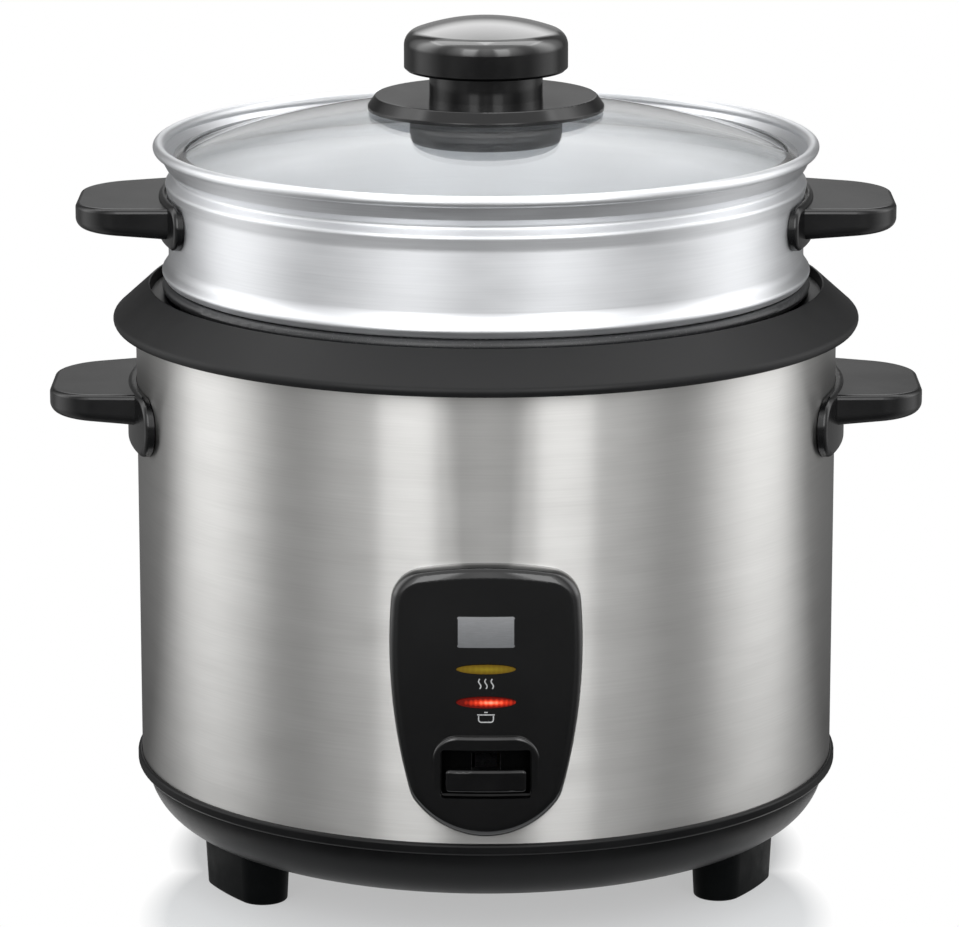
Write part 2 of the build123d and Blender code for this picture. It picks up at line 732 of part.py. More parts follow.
def inner_liner():
    """Steel bowl that hangs in the ring and carries the heating plate."""
    line = [
        (LINER_HOLE_R, liner_z0),
        (LINER_R, liner_z0),
        (LINER_R, ledge_z),
        (RING_MOUTH_R - FIT, ledge_z),
    ]
    liner = pressed(line, [LINER_CORNER, LINER_BEND], LINER_T)
    drill = drum(SCREW_R + HOLE_FIT, liner_z0 - 1, liner_floor_z + 1)
    liner -= [polar(PLATE_LEG_CIRCLE, angle, 0) * drill for angle in LEG_ANGLES]
    liner -= [Pos(x, y, 0) * drill for x, y in bracket_screw_places]
    return liner - [polar(POST_CIRCLE, angle, 0) * drill for angle in FOOT_ANGLES.values()]


# Base

def base_face():
    """Flat floor and rounded bowl of the base, as the outline of its outer face."""
    floor = Line((0, FOOT_H), (BASE_FLAT_R, FOOT_H))
    bowl = EllipticalCenterArc((BASE_FLAT_R, bowl_z), bowl_r - BASE_FLAT_R, bowl_z - FOOT_H, -90, arc_size=90)
    return floor + bowl


def base_cover():
    """Moulded bowl with a beaded lip round the shell, a flat vented floor and screw holes over the feet."""
    inner_r = bowl_r - BASE_T
    inner_h = bowl_z - FOOT_H - BASE_T
    lip = FilletPolyline(
        (bowl_r, bowl_z),
        (LIP_R, bowl_z),
        (LIP_R, lip_z),
        (SHELL_R + FIT, lip_z),
        radius=[LIP_EDGE, LIP_EDGE],
    )
    seat = Polyline(lip @ 1, (SHELL_R + FIT, shell_z0), (inner_r, shell_z0), (inner_r, bowl_z))
    inside = EllipticalCenterArc((BASE_FLAT_R, bowl_z), inner_r - BASE_FLAT_R, inner_h, 0, arc_size=-90)
    ceiling = Polyline(inside @ 1, (0, FOOT_H + BASE_T), (0, FOOT_H))
    cover = revolve(Plane.XZ * make_face(base_face() + lip + seat + inside + ceiling), Axis.Z)
    slot = Pos(VENT_R, 0, FOOT_H + BASE_T / 2) * extrude(SlotOverall(VENT_L, VENT_W), amount=BASE_T, both=True)
    vents = around(slot, [k * 360 / VENT_COUNT for k in range(VENT_COUNT)])
    drill = drum(SCREW_R + HOLE_FIT, FOOT_H - 1, FOOT_H + BASE_T + 1)
    return cover - vents - [polar(POST_CIRCLE, angle, 0) * drill for angle in FOOT_ANGLES.values()]


def foot(angle):
    """Curved lug with round ends, shaped to the base above it, and a sunk hole for its screw."""
    arc = CenterArc((0, 0), FOOT_R, angle - FOOT_ARC / 2, FOOT_ARC)
    top = FOOT_H + FOOT_W / 6
    lug = extrude(Pos(0, 0, top) * SlotArc(arc, FOOT_W), amount=-top, taper=FOOT_TAPER)
    lug = fillet(lug.faces().sort_by(Axis.Z)[0].edges(), FOOT_EDGE)
    above = base_face()
    closing = Polyline(above @ 1, (bowl_r, 2 * bowl_z), (0, 2 * bowl_z), (0, FOOT_H))
    lug -= revolve(Plane.XZ * make_face(above + closing), Axis.Z)
    lug -= polar(POST_CIRCLE, angle, 0) * drum(BASE_SCREW_HEAD_R + FIT, 0, FOOT_H / 2)
    return lug - polar(POST_CIRCLE, angle, 0) * drum(SCREW_R + HOLE_FIT, 0, FOOT_H)


def support_posts():
    """Posts between the base's floor and the liner, tapped at both ends."""
    post = drum(POST_R, FOOT_H + BASE_T, liner_z0)
    post -= drum(SCREW_R + HOLE_FIT, FOOT_H, FOOT_H + BASE_T + SCREW_L)
    post -= drum(SCREW_R + HOLE_FIT, liner_z0 - SCREW_L, liner_z0)
    return Compound([polar(POST_CIRCLE, angle, 0) * post for angle in FOOT_ANGLES.values()])


def base_screws():
    """Long screws up through the feet and the base into the posts."""
    screw = upright_screw(FOOT_H / 2, FOOT_H / 2 + BASE_T + SCREW_L - 1, BASE_SCREW_HEAD_R)
    return Compound([polar(POST_CIRCLE, angle, 0) * screw for angle in FOOT_ANGLES.values()])


def post_screws():
    """Short screws down through the liner's floor into the posts."""
    screw = Rot(180, 0, 0) * upright_screw(-liner_floor_z, SCREW_L - 1)
    return Compound([polar(POST_CIRCLE, angle, 0) * screw for angle in FOOT_ANGLES.values()])


# Front panel, lenses and lamps

def panel_outline():
    """Shield outline seen from the front: bowed top and foot, slightly waisted sides."""
    top_z = panel_z0 + PANEL_H
    shoulder_z = top_z - PANEL_TOP_BOW
    foot_z = panel_z0 + PANEL_FOOT_BOW
    shoulder_x = PANEL_TOP_W / 2
    foot_x = PANEL_FOOT_W / 2
    waist = (PANEL_WAIST_W / 2, (shoulder_z + foot_z) / 2)
    top = ThreePointArc((-shoulder_x, shoulder_z), (0, top_z), (shoulder_x, shoulder_z))
    right = ThreePointArc((shoulder_x, shoulder_z), waist, (foot_x, foot_z))
    under = ThreePointArc((foot_x, foot_z), (0, panel_z0), (-foot_x, foot_z))
    left = ThreePointArc((-foot_x, foot_z), (-waist[0], waist[1]), (-shoulder_x, shoulder_z))
    face = make_face(top + right + under + left)
    face = fillet(face.vertices().group_by(Axis.Y)[-1], PANEL_TOP_CORNER)
    return fillet([v for v in face.vertices() if abs(v.Y - foot_z) < 0.01], PANEL_FOOT_CORNER)


def outer_edges(shape, r):
    """Edges of a shape that lie on a cylinder about the axis."""
    ends = (0.0, 0.3, 0.7, 1.0)
    return [e for e in shape.edges() if all(abs(hypot((e @ t).X, (e @ t).Y) - r) < 0.01 for t in ends)]


def front_panel():
    """Glossy shield with a raised hood, a pocket for the key and windows for the lenses."""
    panel = front_shell(front_outline(panel_outline()), panel_r0, panel_r1)
    panel = fillet(outer_edges(panel, panel_r1), PANEL_EDGE)
    hood_z0 = pocket_z0 - HOOD_FOOT_BORDER
    hood_z1 = pocket_z1 + HOOD_TOP_BORDER
    cone = Pos(0, 0, hood_z0) * Cone(panel_r1 - HOOD_T / 4, hood_r, hood_z1 - hood_z0, align=LOW)
    arch = front_box(HOOD_W, hood_z0 - HOOD_CORNER, hood_z1, HOOD_CORNER)
    hood = (arch & cone) - drum(panel_r0 + PANEL_T / 2, 0, cap_z1)
    rim = [e for e in hood.edges() if hypot(e.center().X, e.center().Y) > panel_r1 - HOOD_T / 4]
    panel += fillet([e for e in rim if e.center().Z > hood_z0 + HOOD_EDGE], HOOD_EDGE)
    pocket = front_box(POCKET_W, pocket_z0, pocket_z1, 1.5)
    panel -= front_shell(pocket, panel_r0 + POCKET_FLOOR, hood_r + 5)
    panel -= lever_slot(LEVER_SLOT_GAP)
    panel -= [lens_sweep(z, h, FIT) for z, h in ((warm_z, WARM_LENS_H), (cook_z, COOK_LENS_H))]
    depth = SHELL_R + PANEL_T * 0.7
    return panel - [panel_screw_place(z) * drum(SCREW_R + HOLE_FIT, 0, depth) for z in panel_screw_zs]


def panel_screw_place(z):
    """Frame whose Z runs along -Y from the axis at height z."""
    return Pos(0, 0, z) * Rot(90, 0, 0)


panel_screw_zs = (panel_z0 + PANEL_SCREW_FOOT, panel_z0 + PANEL_SCREW_TOP)


def panel_screws():
    """Screws from inside the shell into the panel."""
    screw = upright_screw(shell_in - HOLE_FIT, SHELL_T + PANEL_T / 2)
    return Compound([panel_screw_place(z) * screw for z in panel_screw_zs])


def lens_sweep(z, height, clear):
    """Eye-shaped outline of a lens, swept to the front."""
    return front_outline(Pos(0, z) * Ellipse(LENS_W / 2 + clear, height / 2 + clear))


def lens(z, height):
    """Clear coloured lens set in the panel."""
    return front_shell(lens_sweep(z, height, 0), panel_r0, panel_r1 + LENS_PROUD)


def lamp_holder():
    """Moulded tray against the inside of the shell that holds both lamps."""
    middle_z = (warm_z + cook_z) / 2
    y0 = -shell_in
    y1 = y0 + HOLDER_D
    z0 = middle_z - HOLDER_H / 2
    z1 = middle_z + HOLDER_H / 2
    half = HOLDER_W / 2
    tray = block(-half, half, y0, y1, z0, z1)
    tray -= block(-half + HOLDER_T, half - HOLDER_T, y0, y1 - HOLDER_T, z0 + HOLDER_T, z1 - HOLDER_T)
    return tray & drum(shell_in - HOLE_FIT, z0, z1)


def lamp(z):
    """Neon lamp with round ends, held between the tray's side walls."""
    y = -shell_in + HOLDER_D / 2 - HOLDER_T / 2
    length = HOLDER_W - 2 * HOLDER_T - 2 * HOLE_FIT
    tube_body = Rot(0, 90, 0) * Cylinder(LAMP_R, length)
    return Pos(0, y, z) * fillet(tube_body.edges().filter_by(GeomType.CIRCLE), LAMP_R / 2)


# Cook and warm lever

def lever_slot(gap):
    """Slot through panel and shell for the lever's whole swing."""
    half = LEVER_T / 2 + gap
    return front_box(LEVER_W + 2 * gap, pivot_z - half, pivot_z + half + key_lift, 0.8)


def switch_key():
    """Rounded key that fills the panel's pocket, with a socket for the lever's end."""
    key = front_shell(front_box(KEY_W, pivot_z - KEY_H / 2, pivot_z + KEY_H / 2, 1.5), key_r0, key_r1)
    key = fillet(outer_edges(key, key_r1), 1.2)
    half_w = LEVER_W / 2 + HOLE_FIT
    half_t = LEVER_T / 2 + HOLE_FIT
    return key - block(-half_w, half_w, -key_r0 - LEVER_KEY_LAP, 0, pivot_z - half_t, pivot_z + half_t)


def lever_arm():
    """Steel lever: flat bar from the key to the pull rod, with a hub on the pivot."""
    half_w = LEVER_W / 2
    half_t = LEVER_T / 2
    front_y = -key_r0 - LEVER_KEY_LAP + HOLE_FIT
    arm = block(-half_w, half_w, front_y, 0, pivot_z - half_t, pivot_z + half_t)
    arm += drum(LEVER_PAD_R, pivot_z - half_t, pivot_z + half_t)
    arm += Pos(0, PIVOT_Y, pivot_z) * Rot(0, 90, 0) * Cylinder(LEVER_HUB_R, LEVER_W)
    arm -= Pos(0, PIVOT_Y, pivot_z) * Rot(0, 90, 0) * Cylinder(PIN_R + RUN, 2 * LEVER_W)
    return arm - drum(ROD_HOLE_R, pivot_z - LEVER_T, pivot_z + LEVER_T)


ear_x0 = LEVER_W / 2 + BRACKET_GAP
ear_x1 = ear_x0 + BRACKET_T
bracket_y1 = PIVOT_Y + BRACKET_EAR_L / 2
bracket_y0 = bracket_y1 - BRACKET_L
bracket_screw_y = bracket_y0 + 1.5 * SCREW_HEAD_R
bracket_screw_places = [(side * (BRACKET_W / 2 - SCREW_HEAD_R), bracket_screw_y) for side in (-1, 1)]


def lever_bracket():
    """Folded bracket under the liner: two ears for the pin, one carrying the micro switch."""
    top_z = liner_z0 - BRACKET_T
    ear_z0 = pivot_z - LEVER_HUB_R - 1
    ear_y0 = bracket_y1 - BRACKET_EAR_L
    bracket = block(-BRACKET_W / 2, BRACKET_W / 2, bracket_y0, bracket_y1, top_z, liner_z0)
    bracket += block(-ear_x1, -ear_x0, ear_y0, bracket_y1, ear_z0, top_z)
    bracket += block(ear_x0, ear_x1, ear_y0, bracket_y1, ear_z0, top_z)
    bracket += block(ear_x0, ear_x1, SWITCH_Y - SWITCH_L / 2, bracket_y1, switch_z0, ear_z0 + LEVER_HUB_R / 2)
    bracket -= Pos(0, PIVOT_Y, pivot_z) * Rot(0, 90, 0) * Cylinder(PIN_R + RUN, BRACKET_W)
    drill = drum(SCREW_R + HOLE_FIT, top_z - 1, liner_z0 + 1)
    return bracket - [Pos(x, y, 0) * drill for x, y in bracket_screw_places]


def lever_pin():
    """Pivot pin with upset ends."""
    length = 2 * ear_x1
    pin = Cylinder(PIN_R, length + 2 * BRACKET_T)
    for side in (-1, 1):
        pin += Pos(0, 0, side * (ear_x1 + FIT + BRACKET_T / 2)) * Cylinder(PIN_R + 1, BRACKET_T)
    return Pos(0, PIVOT_Y, pivot_z) * Rot(0, 90, 0) * pin


def bracket_screws():
    """Screws up through the bracket into nuts clinched on the liner's floor."""
    head_z = liner_z0 - BRACKET_T
    screw = upright_screw(head_z, BRACKET_T + LINER_T + PLATE_LEG_H / 2)
    screw += drum(SCREW_HEAD_R, liner_floor_z, liner_floor_z + PLATE_LEG_H / 3)
    return Compound([Pos(x, y, 0) * screw for x, y in bracket_screw_places])


plunger_z1 = pivot_z - LEVER_T / 2 - SEAT
switch_z1 = plunger_z1 - PLUNGER_OUT
switch_z0 = switch_z1 - SWITCH_H
switch_x1 = ear_x0
switch_x = switch_x1 - SWITCH_W / 2


def micro_switch():
    """Moulded switch body on the bracket's long ear, with two contact tabs below."""
    half_l = SWITCH_L / 2
    body = block(switch_x1 - SWITCH_W, switch_x1, SWITCH_Y - half_l, SWITCH_Y + half_l, switch_z0, switch_z1)
    for side in (-1, 1):
        tab_y = SWITCH_Y + side * half_l / 2
        body += block(switch_x - 1.5, switch_x + 1.5, tab_y - 0.4, tab_y + 0.4, switch_z0 - SWITCH_H / 2, switch_z0)
    depth = PLUNGER_IN + SEAT
    return body - Pos(switch_x, SWITCH_Y, 0) * drum(PLUNGER_R + RUN, switch_z1 - depth, switch_z1 + 1)


def switch_plunger():
    """Plunger that the lever's front half holds down while cooking."""
    return Pos(switch_x, SWITCH_Y, 0) * drum(PLUNGER_R, switch_z1 - PLUNGER_IN, plunger_z1)


# Heating plate and magnetic thermostat

def heating_plate():
    """Cast plate with a hole for the sensor, three tapped legs and a groove for the element."""
    plate = turned(
        (PLATE_HOLE_R, plate_z0),
        (PLATE_R, plate_z0),
        (PLATE_R, plate_z1),
        (PLATE_HOLE_R, plate_z1),
        radii=[0, 3.0, 3.0, 1.0],
    )
    leg = drum(PLATE_LEG_R, liner_floor_z, plate_z0 + 1)
    for angle in LEG_ANGLES:
        plate += polar(PLATE_LEG_CIRCLE, angle, 0) * leg
        plate -= polar(PLATE_LEG_CIRCLE, angle, 0) * drum(SCREW_R + HOLE_FIT, liner_z0, liner_z0 + SCREW_L)
    return plate - Pos(0, 0, plate_z0) * Torus(ELEMENT_R, ELEMENT_TUBE + HOLE_FIT)


def plate_screws():
    """Screws up through the liner's floor into the plate's legs."""
    screw = upright_screw(liner_z0, SCREW_L - 1)
    return Compound([polar(PLATE_LEG_CIRCLE, angle, 0) * screw for angle in LEG_ANGLES])


element_start = 90 + (360 - ELEMENT_ARC) / 2
element_ends = (element_start, element_start + ELEMENT_ARC)


def heating_element():
    """Tubular element let into the plate's underside, with a terminal pin at each end."""
    circle = Pos(ELEMENT_R, 0, plate_z0) * Rot(90, 0, 0) * Circle(ELEMENT_TUBE)
    element = Rot(0, 0, element_start) * revolve(circle, Axis.Z, revolution_arc=ELEMENT_ARC)
    for angle, inward in zip(element_ends, (1, -1)):
        lean = angle + inward * degrees(ELEMENT_TUBE / ELEMENT_R)
        element += polar(ELEMENT_R, lean, 0) * drum(TERMINAL_R, plate_z0 - TERMINAL_H, plate_z0)
    return element


def sensor_cup():
    """Thin metal cup that presses on the pot, with a flange for its spring."""
    inner = CUP_R - CUP_T
    return turned(
        (0, cup_z1 - CUP_T),
        (inner, cup_z1 - CUP_T),
        (inner, cup_z0),
        (CUP_FLANGE, cup_z0),
        (CUP_FLANGE, cup_z0 + CUP_T),
        (CUP_R, cup_z0 + CUP_T),
        (CUP_R, cup_z1),
        (0, cup_z1),
        radii=[0, 0, 0, 0, 0, 0, 1.5, 0],
    )


def ferrite():
    """Ferrite disc under the cup's top."""
    return drum(FERRITE_R, ferrite_z0, ferrite_z0 + FERRITE_H)


def magnet():
    """Ring magnet with its carrier dish."""
    disc = drum(MAGNET_R, magnet_z0, magnet_z1)
    dish = drum(CARRIER_R, carrier_z0, magnet_z0)
    return disc + dish - drum(ROD_R + HOLE_FIT, carrier_z0, magnet_z0 + MAGNET_H / 2)


def pull_rod():
    """Rod from the magnet down through the lever's pad, with a collar on each side of it."""
    rod = drum(ROD_R, collar_low_z, magnet_z0 + MAGNET_H / 2)
    rod += drum(COLLAR_R, collar_top_z, collar_top_z + COLLAR_T)
    return rod + drum(COLLAR_R, collar_low_z, collar_low_z + COLLAR_T)


def thermostat_housing():
    """Pressed cup under the plate: floor for the sensor's spring, hole for the pull rod."""
    floor_z = housing_z0 + HOUSING_T
    inner = HOUSING_R - HOUSING_T
    flange_z = plate_z0 - HOUSING_T
    return turned(
        (ROD_HOLE_R, housing_z0),
        (HOUSING_R, housing_z0),
        (HOUSING_R, flange_z),
        (HOUSING_FLANGE, flange_z),
        (HOUSING_FLANGE, plate_z0),
        (inner, plate_z0),
        (inner, floor_z),
        (ROD_HOLE_R, floor_z),
    )


def coil_spring(r, wire, turns, z0, z1):
    """Helical wire between two levels."""
    height = z1 - z0 - 2 * wire
    helix = Pos(0, 0, z0 + wire) * Helix(height / turns, height, r)
    start = Plane(origin=helix @ 0, z_dir=helix % 0)
    return sweep(start * Circle(wire), path=helix)


def sensor_spring():
    """Spring that lifts the sensor cup against the pot."""
    floor_z = housing_z0 + HOUSING_T
    return coil_spring(SENSOR_SPRING_R, SENSOR_SPRING_WIRE, SENSOR_SPRING_TURNS, floor_z + FIT, cup_z0 - FIT)


def release_spring():
    """Spring that pushes the magnet off the ferrite when the ferrite lets go."""
    return coil_spring(RELEASE_SPRING_R, RELEASE_SPRING_WIRE, RELEASE_SPRING_TURNS, magnet_z0 + FIT, ferrite_z0 - FIT)


def keep_warm_thermostat():
    """Disc thermostat against the plate's underside."""
    body = drum(WARMER_R, plate_z0 - WARMER_H, plate_z0)
    for side in (-1, 1):
        body += block(side * 4 - 1.5, side * 4 + 1.5, -0.4, 0.4, plate_z0 - WARMER_H - 6, plate_z0 - WARMER_H)
    return Pos(WARMER_X, 0, 0) * body


fuse_z = plate_z0 - FUSE_CLIP_H / 2


def thermal_fuse():
    """Sleeved fuse in its clip."""
    return Pos(-WARMER_X, 0, fuse_z) * Rot(90, 0, 0) * Cylinder(FUSE_R, FUSE_L)


def fuse_clip():
    """Clip that holds the fuse against the plate."""
    clip = Pos(-WARMER_X, 0, fuse_z) * Box(FUSE_CLIP_W, FUSE_CLIP_L, FUSE_CLIP_H)
    return clip - Pos(-WARMER_X, 0, fuse_z) * Rot(90, 0, 0) * Cylinder(FUSE_R + HOLE_FIT, 2 * FUSE_L)


# Power inlet

def inlet_sweep(width, height, y0, y1):
    """Rounded box along Y at the inlet's height."""
    face = Pos(0, inlet_z) * RectangleRounded(width, height, INLET_CORNER)
    return Pos(0, y1, 0) * extrude(Plane.XZ * face, amount=y1 - y0)


inlet_rim_y = SHELL_R + INLET_PROUD
socket_floor_y = inlet_rim_y - INLET_DEPTH
inlet_back_y = socket_floor_y - INLET_BACK
inlet_pin_xs = (-INLET_PIN_PITCH, 0.0, INLET_PIN_PITCH)
inlet_screw_xs = (-INLET_SCREW_X, INLET_SCREW_X)


def inlet_screw_place(x):
    """Frame whose Z runs along +Y from the middle plane at the inlet's height."""
    return Pos(x, 0, inlet_z) * Rot(-90, 0, 0)


def power_inlet():
    """Moulded socket through the back of the shell, with a flange outside."""
    inlet = inlet_sweep(INLET_W, INLET_H, inlet_back_y, inlet_rim_y)
    flange = inlet_sweep(INLET_FLANGE_W, INLET_FLANGE_H, 0, 2 * SHELL_R)
    inlet += flange & tube(SHELL_R + FIT, SHELL_R + FIT + INLET_FLANGE_T, 0, shell_z1)
    hollow_w = INLET_W - 2 * INLET_WALL
    hollow_h = INLET_H - 2 * INLET_WALL
    inlet -= inlet_sweep(hollow_w, hollow_h, socket_floor_y, 2 * SHELL_R)
    inlet -= [inlet_screw_place(x) * drum(SCREW_R + HOLE_FIT, 0, 2 * SHELL_R) for x in inlet_screw_xs]
    pin_hole = drum(INLET_PIN_R + HOLE_FIT, 0, 2 * SHELL_R)
    return inlet - [inlet_screw_place(x) * pin_hole for x in inlet_pin_xs]


def inlet_pins():
    """Three round contact pins, the outer two with solder ends inside."""
    pins = []
    for x in inlet_pin_xs:
        tail = INLET_TAB_L if x else 0
        pin = drum(INLET_PIN_R, inlet_back_y - tail, socket_floor_y + INLET_PIN_OUT)
        pins.append(inlet_screw_place(x) * fillet(pin.edges().sort_by(Axis.Z)[-1], INLET_PIN_R / 2))
    return Compound(pins)


def inlet_screws():
    """Screws through the flange into the shell, with nuts inside."""
    face_y = sqrt((SHELL_R + FIT + INLET_FLANGE_T) ** 2 - (INLET_SCREW_X - SCREW_HEAD_R) ** 2) + HOLE_FIT
    screw = Rot(180, 0, 0) * upright_screw(-face_y, SCREW_L)
    return Compound([inlet_screw_place(x) * screw for x in inlet_screw_xs])


# Wires

def wire(*points):
    """Insulated wire with rounded bends."""
    path = FilletPolyline(*points, radius=WIRE_BEND)
    start = Plane(origin=path @ 0, z_dir=path % 0)
    return sweep(start * Circle(WIRE_R), path=path)


wire_y = inlet_back_y - INLET_TAB_L - HOLE_FIT
wire_turn_y = wire_y - WIRE_RUN
fuse_end_y = (FUSE_L + FUSE_CLIP_L) / 4
fuse_under_z = fuse_z - FUSE_R - HOLE_FIT
terminal_z = plate_z0 - TERMINAL_H - HOLE_FIT
tab_z = switch_z0 - SWITCH_H / 2 - HOLE_FIT
switch_wire_z = FOOT_H + BASE_T + WIRE_LOW
element_wire_z = switch_wire_z - WIRE_CROSSING


def terminal_place(index):
    """Middle of one of the element's terminal pins, seen from above."""
    lean = element_ends[index] + (1, -1)[index] * degrees(ELEMENT_TUBE / ELEMENT_R)
    return ELEMENT_R * cos(radians(lean)), ELEMENT_R * sin(radians(lean))


def live_wire():
    """From the inlet to the thermal fuse."""
    return wire(
        (-INLET_PIN_PITCH, wire_y, inlet_z),
        (-INLET_PIN_PITCH, wire_turn_y, inlet_z),
        (-WARMER_X, wire_turn_y - WIRE_RUN, inlet_z),
        (-WARMER_X, fuse_end_y, inlet_z),
        (-WARMER_X, fuse_end_y, fuse_under_z),
    )


def neutral_wire():
    """From the inlet to one end of the element."""
    x, y = terminal_place(1)
    return wire(
        (INLET_PIN_PITCH, wire_y, inlet_z),
        (INLET_PIN_PITCH, wire_turn_y, inlet_z),
        (x, y, inlet_z),
        (x, y, terminal_z),
    )


def heater_wires():
    """From the thermal fuse to the micro switch, and from the switch to the element's other end."""
    near_y = SWITCH_Y + SWITCH_L / 4
    far_y = SWITCH_Y - SWITCH_L / 4
    x, y = terminal_place(0)
    to_switch = wire(
        (-WARMER_X, -fuse_end_y, fuse_under_z),
        (-WARMER_X, -fuse_end_y, switch_wire_z),
        (switch_x, near_y, switch_wire_z),
        (switch_x, near_y, tab_z),
    )
    to_element = wire(
        (switch_x, far_y, tab_z),
        (switch_x, far_y, element_wire_z),
        (x, y, element_wire_z),
        (x, y, terminal_z),
    )
    return Compound([to_switch, to_element])


# One file for each piece

def pieces():
    """Every piece by its name."""
    body_sizes = (BODY_PLATE_W, BODY_PLATE_H, BODY_PLATE_UP)
    body_handle = side_handle(SHELL_R, BODY_GRIP_REACH, body_grip_z, *body_sizes)
    steamer_sizes = (STEAMER_PLATE_W, STEAMER_PLATE_H, STEAMER_PLATE_UP)
    steamer_handle = side_handle(STEAMER_R, STEAMER_GRIP_REACH, steamer_grip_z, *steamer_sizes)
    steamer_handle -= drum(STEAMER_R + RIDGE_OUT + FIT, wall_z1 - FIT, collar_z1)
    made = {
        "steamer_handle_right": steamer_handle,
        "steamer_handle_left": mirror(steamer_handle, Plane.YZ),
        "steamer_handle_screws": handle_screws(STEAMER_R, STEAMER_T, steamer_screw_z),
        "body_handle_right": body_handle,
        "body_handle_left": mirror(body_handle, Plane.YZ),
        "body_handle_screws": handle_screws(SHELL_R, SHELL_T, body_screw_z),
        "warm_lens": lens(warm_z, WARM_LENS_H),
        "cook_lens": lens(cook_z, COOK_LENS_H),
        "warm_lamp": lamp(warm_z),
        "cook_lamp": lamp(cook_z),
    }
    for name, angle in FOOT_ANGLES.items():
        made[name] = foot(angle)
    single = (
        lid_glass, vent_eyelet, lid_rim_band, knob_skirt, knob_gasket, knob_boss, knob_screw, knob,
        steamer_basket, steamer_floor, inner_pot, top_ring, outer_shell, inner_liner, base_cover, support_posts,
        base_screws, post_screws, front_panel, panel_screws, lamp_holder, switch_key, lever_arm,
        lever_bracket, lever_pin, bracket_screws, micro_switch, switch_plunger, heating_plate,
        plate_screws, heating_element, sensor_cup, ferrite, magnet, pull_rod, thermostat_housing,
        sensor_spring, release_spring, keep_warm_thermostat, thermal_fuse, fuse_clip, power_inlet,
        inlet_pins, inlet_screws, live_wire, neutral_wire, heater_wires,
    )
    for make in single:
        made[make.__name__] = make()
    return made


os.makedirs("parts", exist_ok=True)
for name, shape in pieces().items():
    export_step(shape, f"parts/{name}.step")
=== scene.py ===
import math

import bpy
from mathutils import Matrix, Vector


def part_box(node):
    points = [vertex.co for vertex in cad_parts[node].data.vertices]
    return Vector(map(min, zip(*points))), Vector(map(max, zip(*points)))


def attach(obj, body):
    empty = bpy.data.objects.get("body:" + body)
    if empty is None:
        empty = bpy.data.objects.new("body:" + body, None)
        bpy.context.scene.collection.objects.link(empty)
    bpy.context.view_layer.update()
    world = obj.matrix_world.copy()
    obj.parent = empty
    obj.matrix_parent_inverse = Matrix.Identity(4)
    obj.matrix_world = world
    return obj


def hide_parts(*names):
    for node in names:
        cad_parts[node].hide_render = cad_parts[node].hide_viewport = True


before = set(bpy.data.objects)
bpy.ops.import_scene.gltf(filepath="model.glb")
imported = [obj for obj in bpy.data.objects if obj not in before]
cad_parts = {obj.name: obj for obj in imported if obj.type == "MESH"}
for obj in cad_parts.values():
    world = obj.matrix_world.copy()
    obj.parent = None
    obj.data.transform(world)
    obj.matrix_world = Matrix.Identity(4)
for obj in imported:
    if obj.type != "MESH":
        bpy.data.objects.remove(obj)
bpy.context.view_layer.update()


# Base cover: the tub that closes the drum from below, injection moulded in black polypropylene.
# Its face keeps the fine dull skin of the mould; a rolled lip takes the drum's lower edge.
def new_finish(name, plain):
    """A material with the plain values of its shader set."""
    finish = bpy.data.materials.new(name)
    finish.use_nodes = True
    shader = finish.node_tree.nodes["Principled BSDF"]
    for socket, value in plain.items():
        shader.inputs[socket].default_value = value
    return finish, shader


def add_node(tree, kind, inputs=None, **settings):
    """A node with its settings, and each input given a value or a link."""
    node = tree.nodes.new("ShaderNode" + kind)
    for setting, value in settings.items():
        setattr(node, setting, value)
    for socket, value in (inputs or {}).items():
        if isinstance(value, bpy.types.NodeSocket):
            tree.links.new(value, node.inputs[socket])
        else:
            node.inputs[socket].default_value = value
    return node


def colour_between(tree, fac, low, high, at=(0.3, 0.7)):
    """Colour that goes from low to high as fac does."""
    ramp = add_node(tree, "ValToRGB", {"Fac": fac})
    for stop, place, colour in zip(ramp.color_ramp.elements, at, (low, high)):
        stop.position = place
        stop.color = (*colour, 1)
    return ramp.outputs["Color"]


def value_between(tree, fac, low, high, at=(0.3, 0.7)):
    """Value that goes from low to high as fac does."""
    ends = {"Value": fac, "From Min": at[0], "From Max": at[1], "To Min": low, "To Max": high}
    return add_node(tree, "MapRange", ends).outputs["Result"]


def new_effect(name, inputs, outputs):
    """An empty shader group with named numbers in and out."""
    group = bpy.data.node_groups.new(name, "ShaderNodeTree")
    for label, value in inputs.items():
        socket = group.interface.new_socket(label, in_out="INPUT", socket_type="NodeSocketFloat")
        socket.default_value = value
    for label in outputs:
        group.interface.new_socket(label, in_out="OUTPUT", socket_type="NodeSocketFloat")
    return group, group.nodes.new("NodeGroupInput"), group.nodes.new("NodeGroupOutput")


def bump(tree, height, depth, strength=1.0):
    """Normal of a surface raised by height times depth, in metres."""
    node = add_node(tree, "Bump", {"Height": height, "Distance": depth, "Strength": strength})
    return node.outputs["Normal"]


moulded_skin, skin_in, skin_out = new_effect("moulded_skin", {"Grain": 2600, "Patches": 30},
                                             ("Height", "Tone"))
skin_place = add_node(moulded_skin, "TexCoord").outputs["Object"]
skin_grain = add_node(moulded_skin, "TexNoise", {"Vector": skin_place, "Scale": skin_in.outputs["Grain"],
                                                 "Detail": 2.0, "Roughness": 0.6})
skin_patch = add_node(moulded_skin, "TexNoise", {"Vector": skin_place, "Scale": skin_in.outputs["Patches"],
                                                 "Detail": 5.0, "Roughness": 0.62})
moulded_skin.links.new(skin_grain.outputs["Fac"], skin_out.inputs["Height"])
moulded_skin.links.new(skin_patch.outputs["Fac"], skin_out.inputs["Tone"])


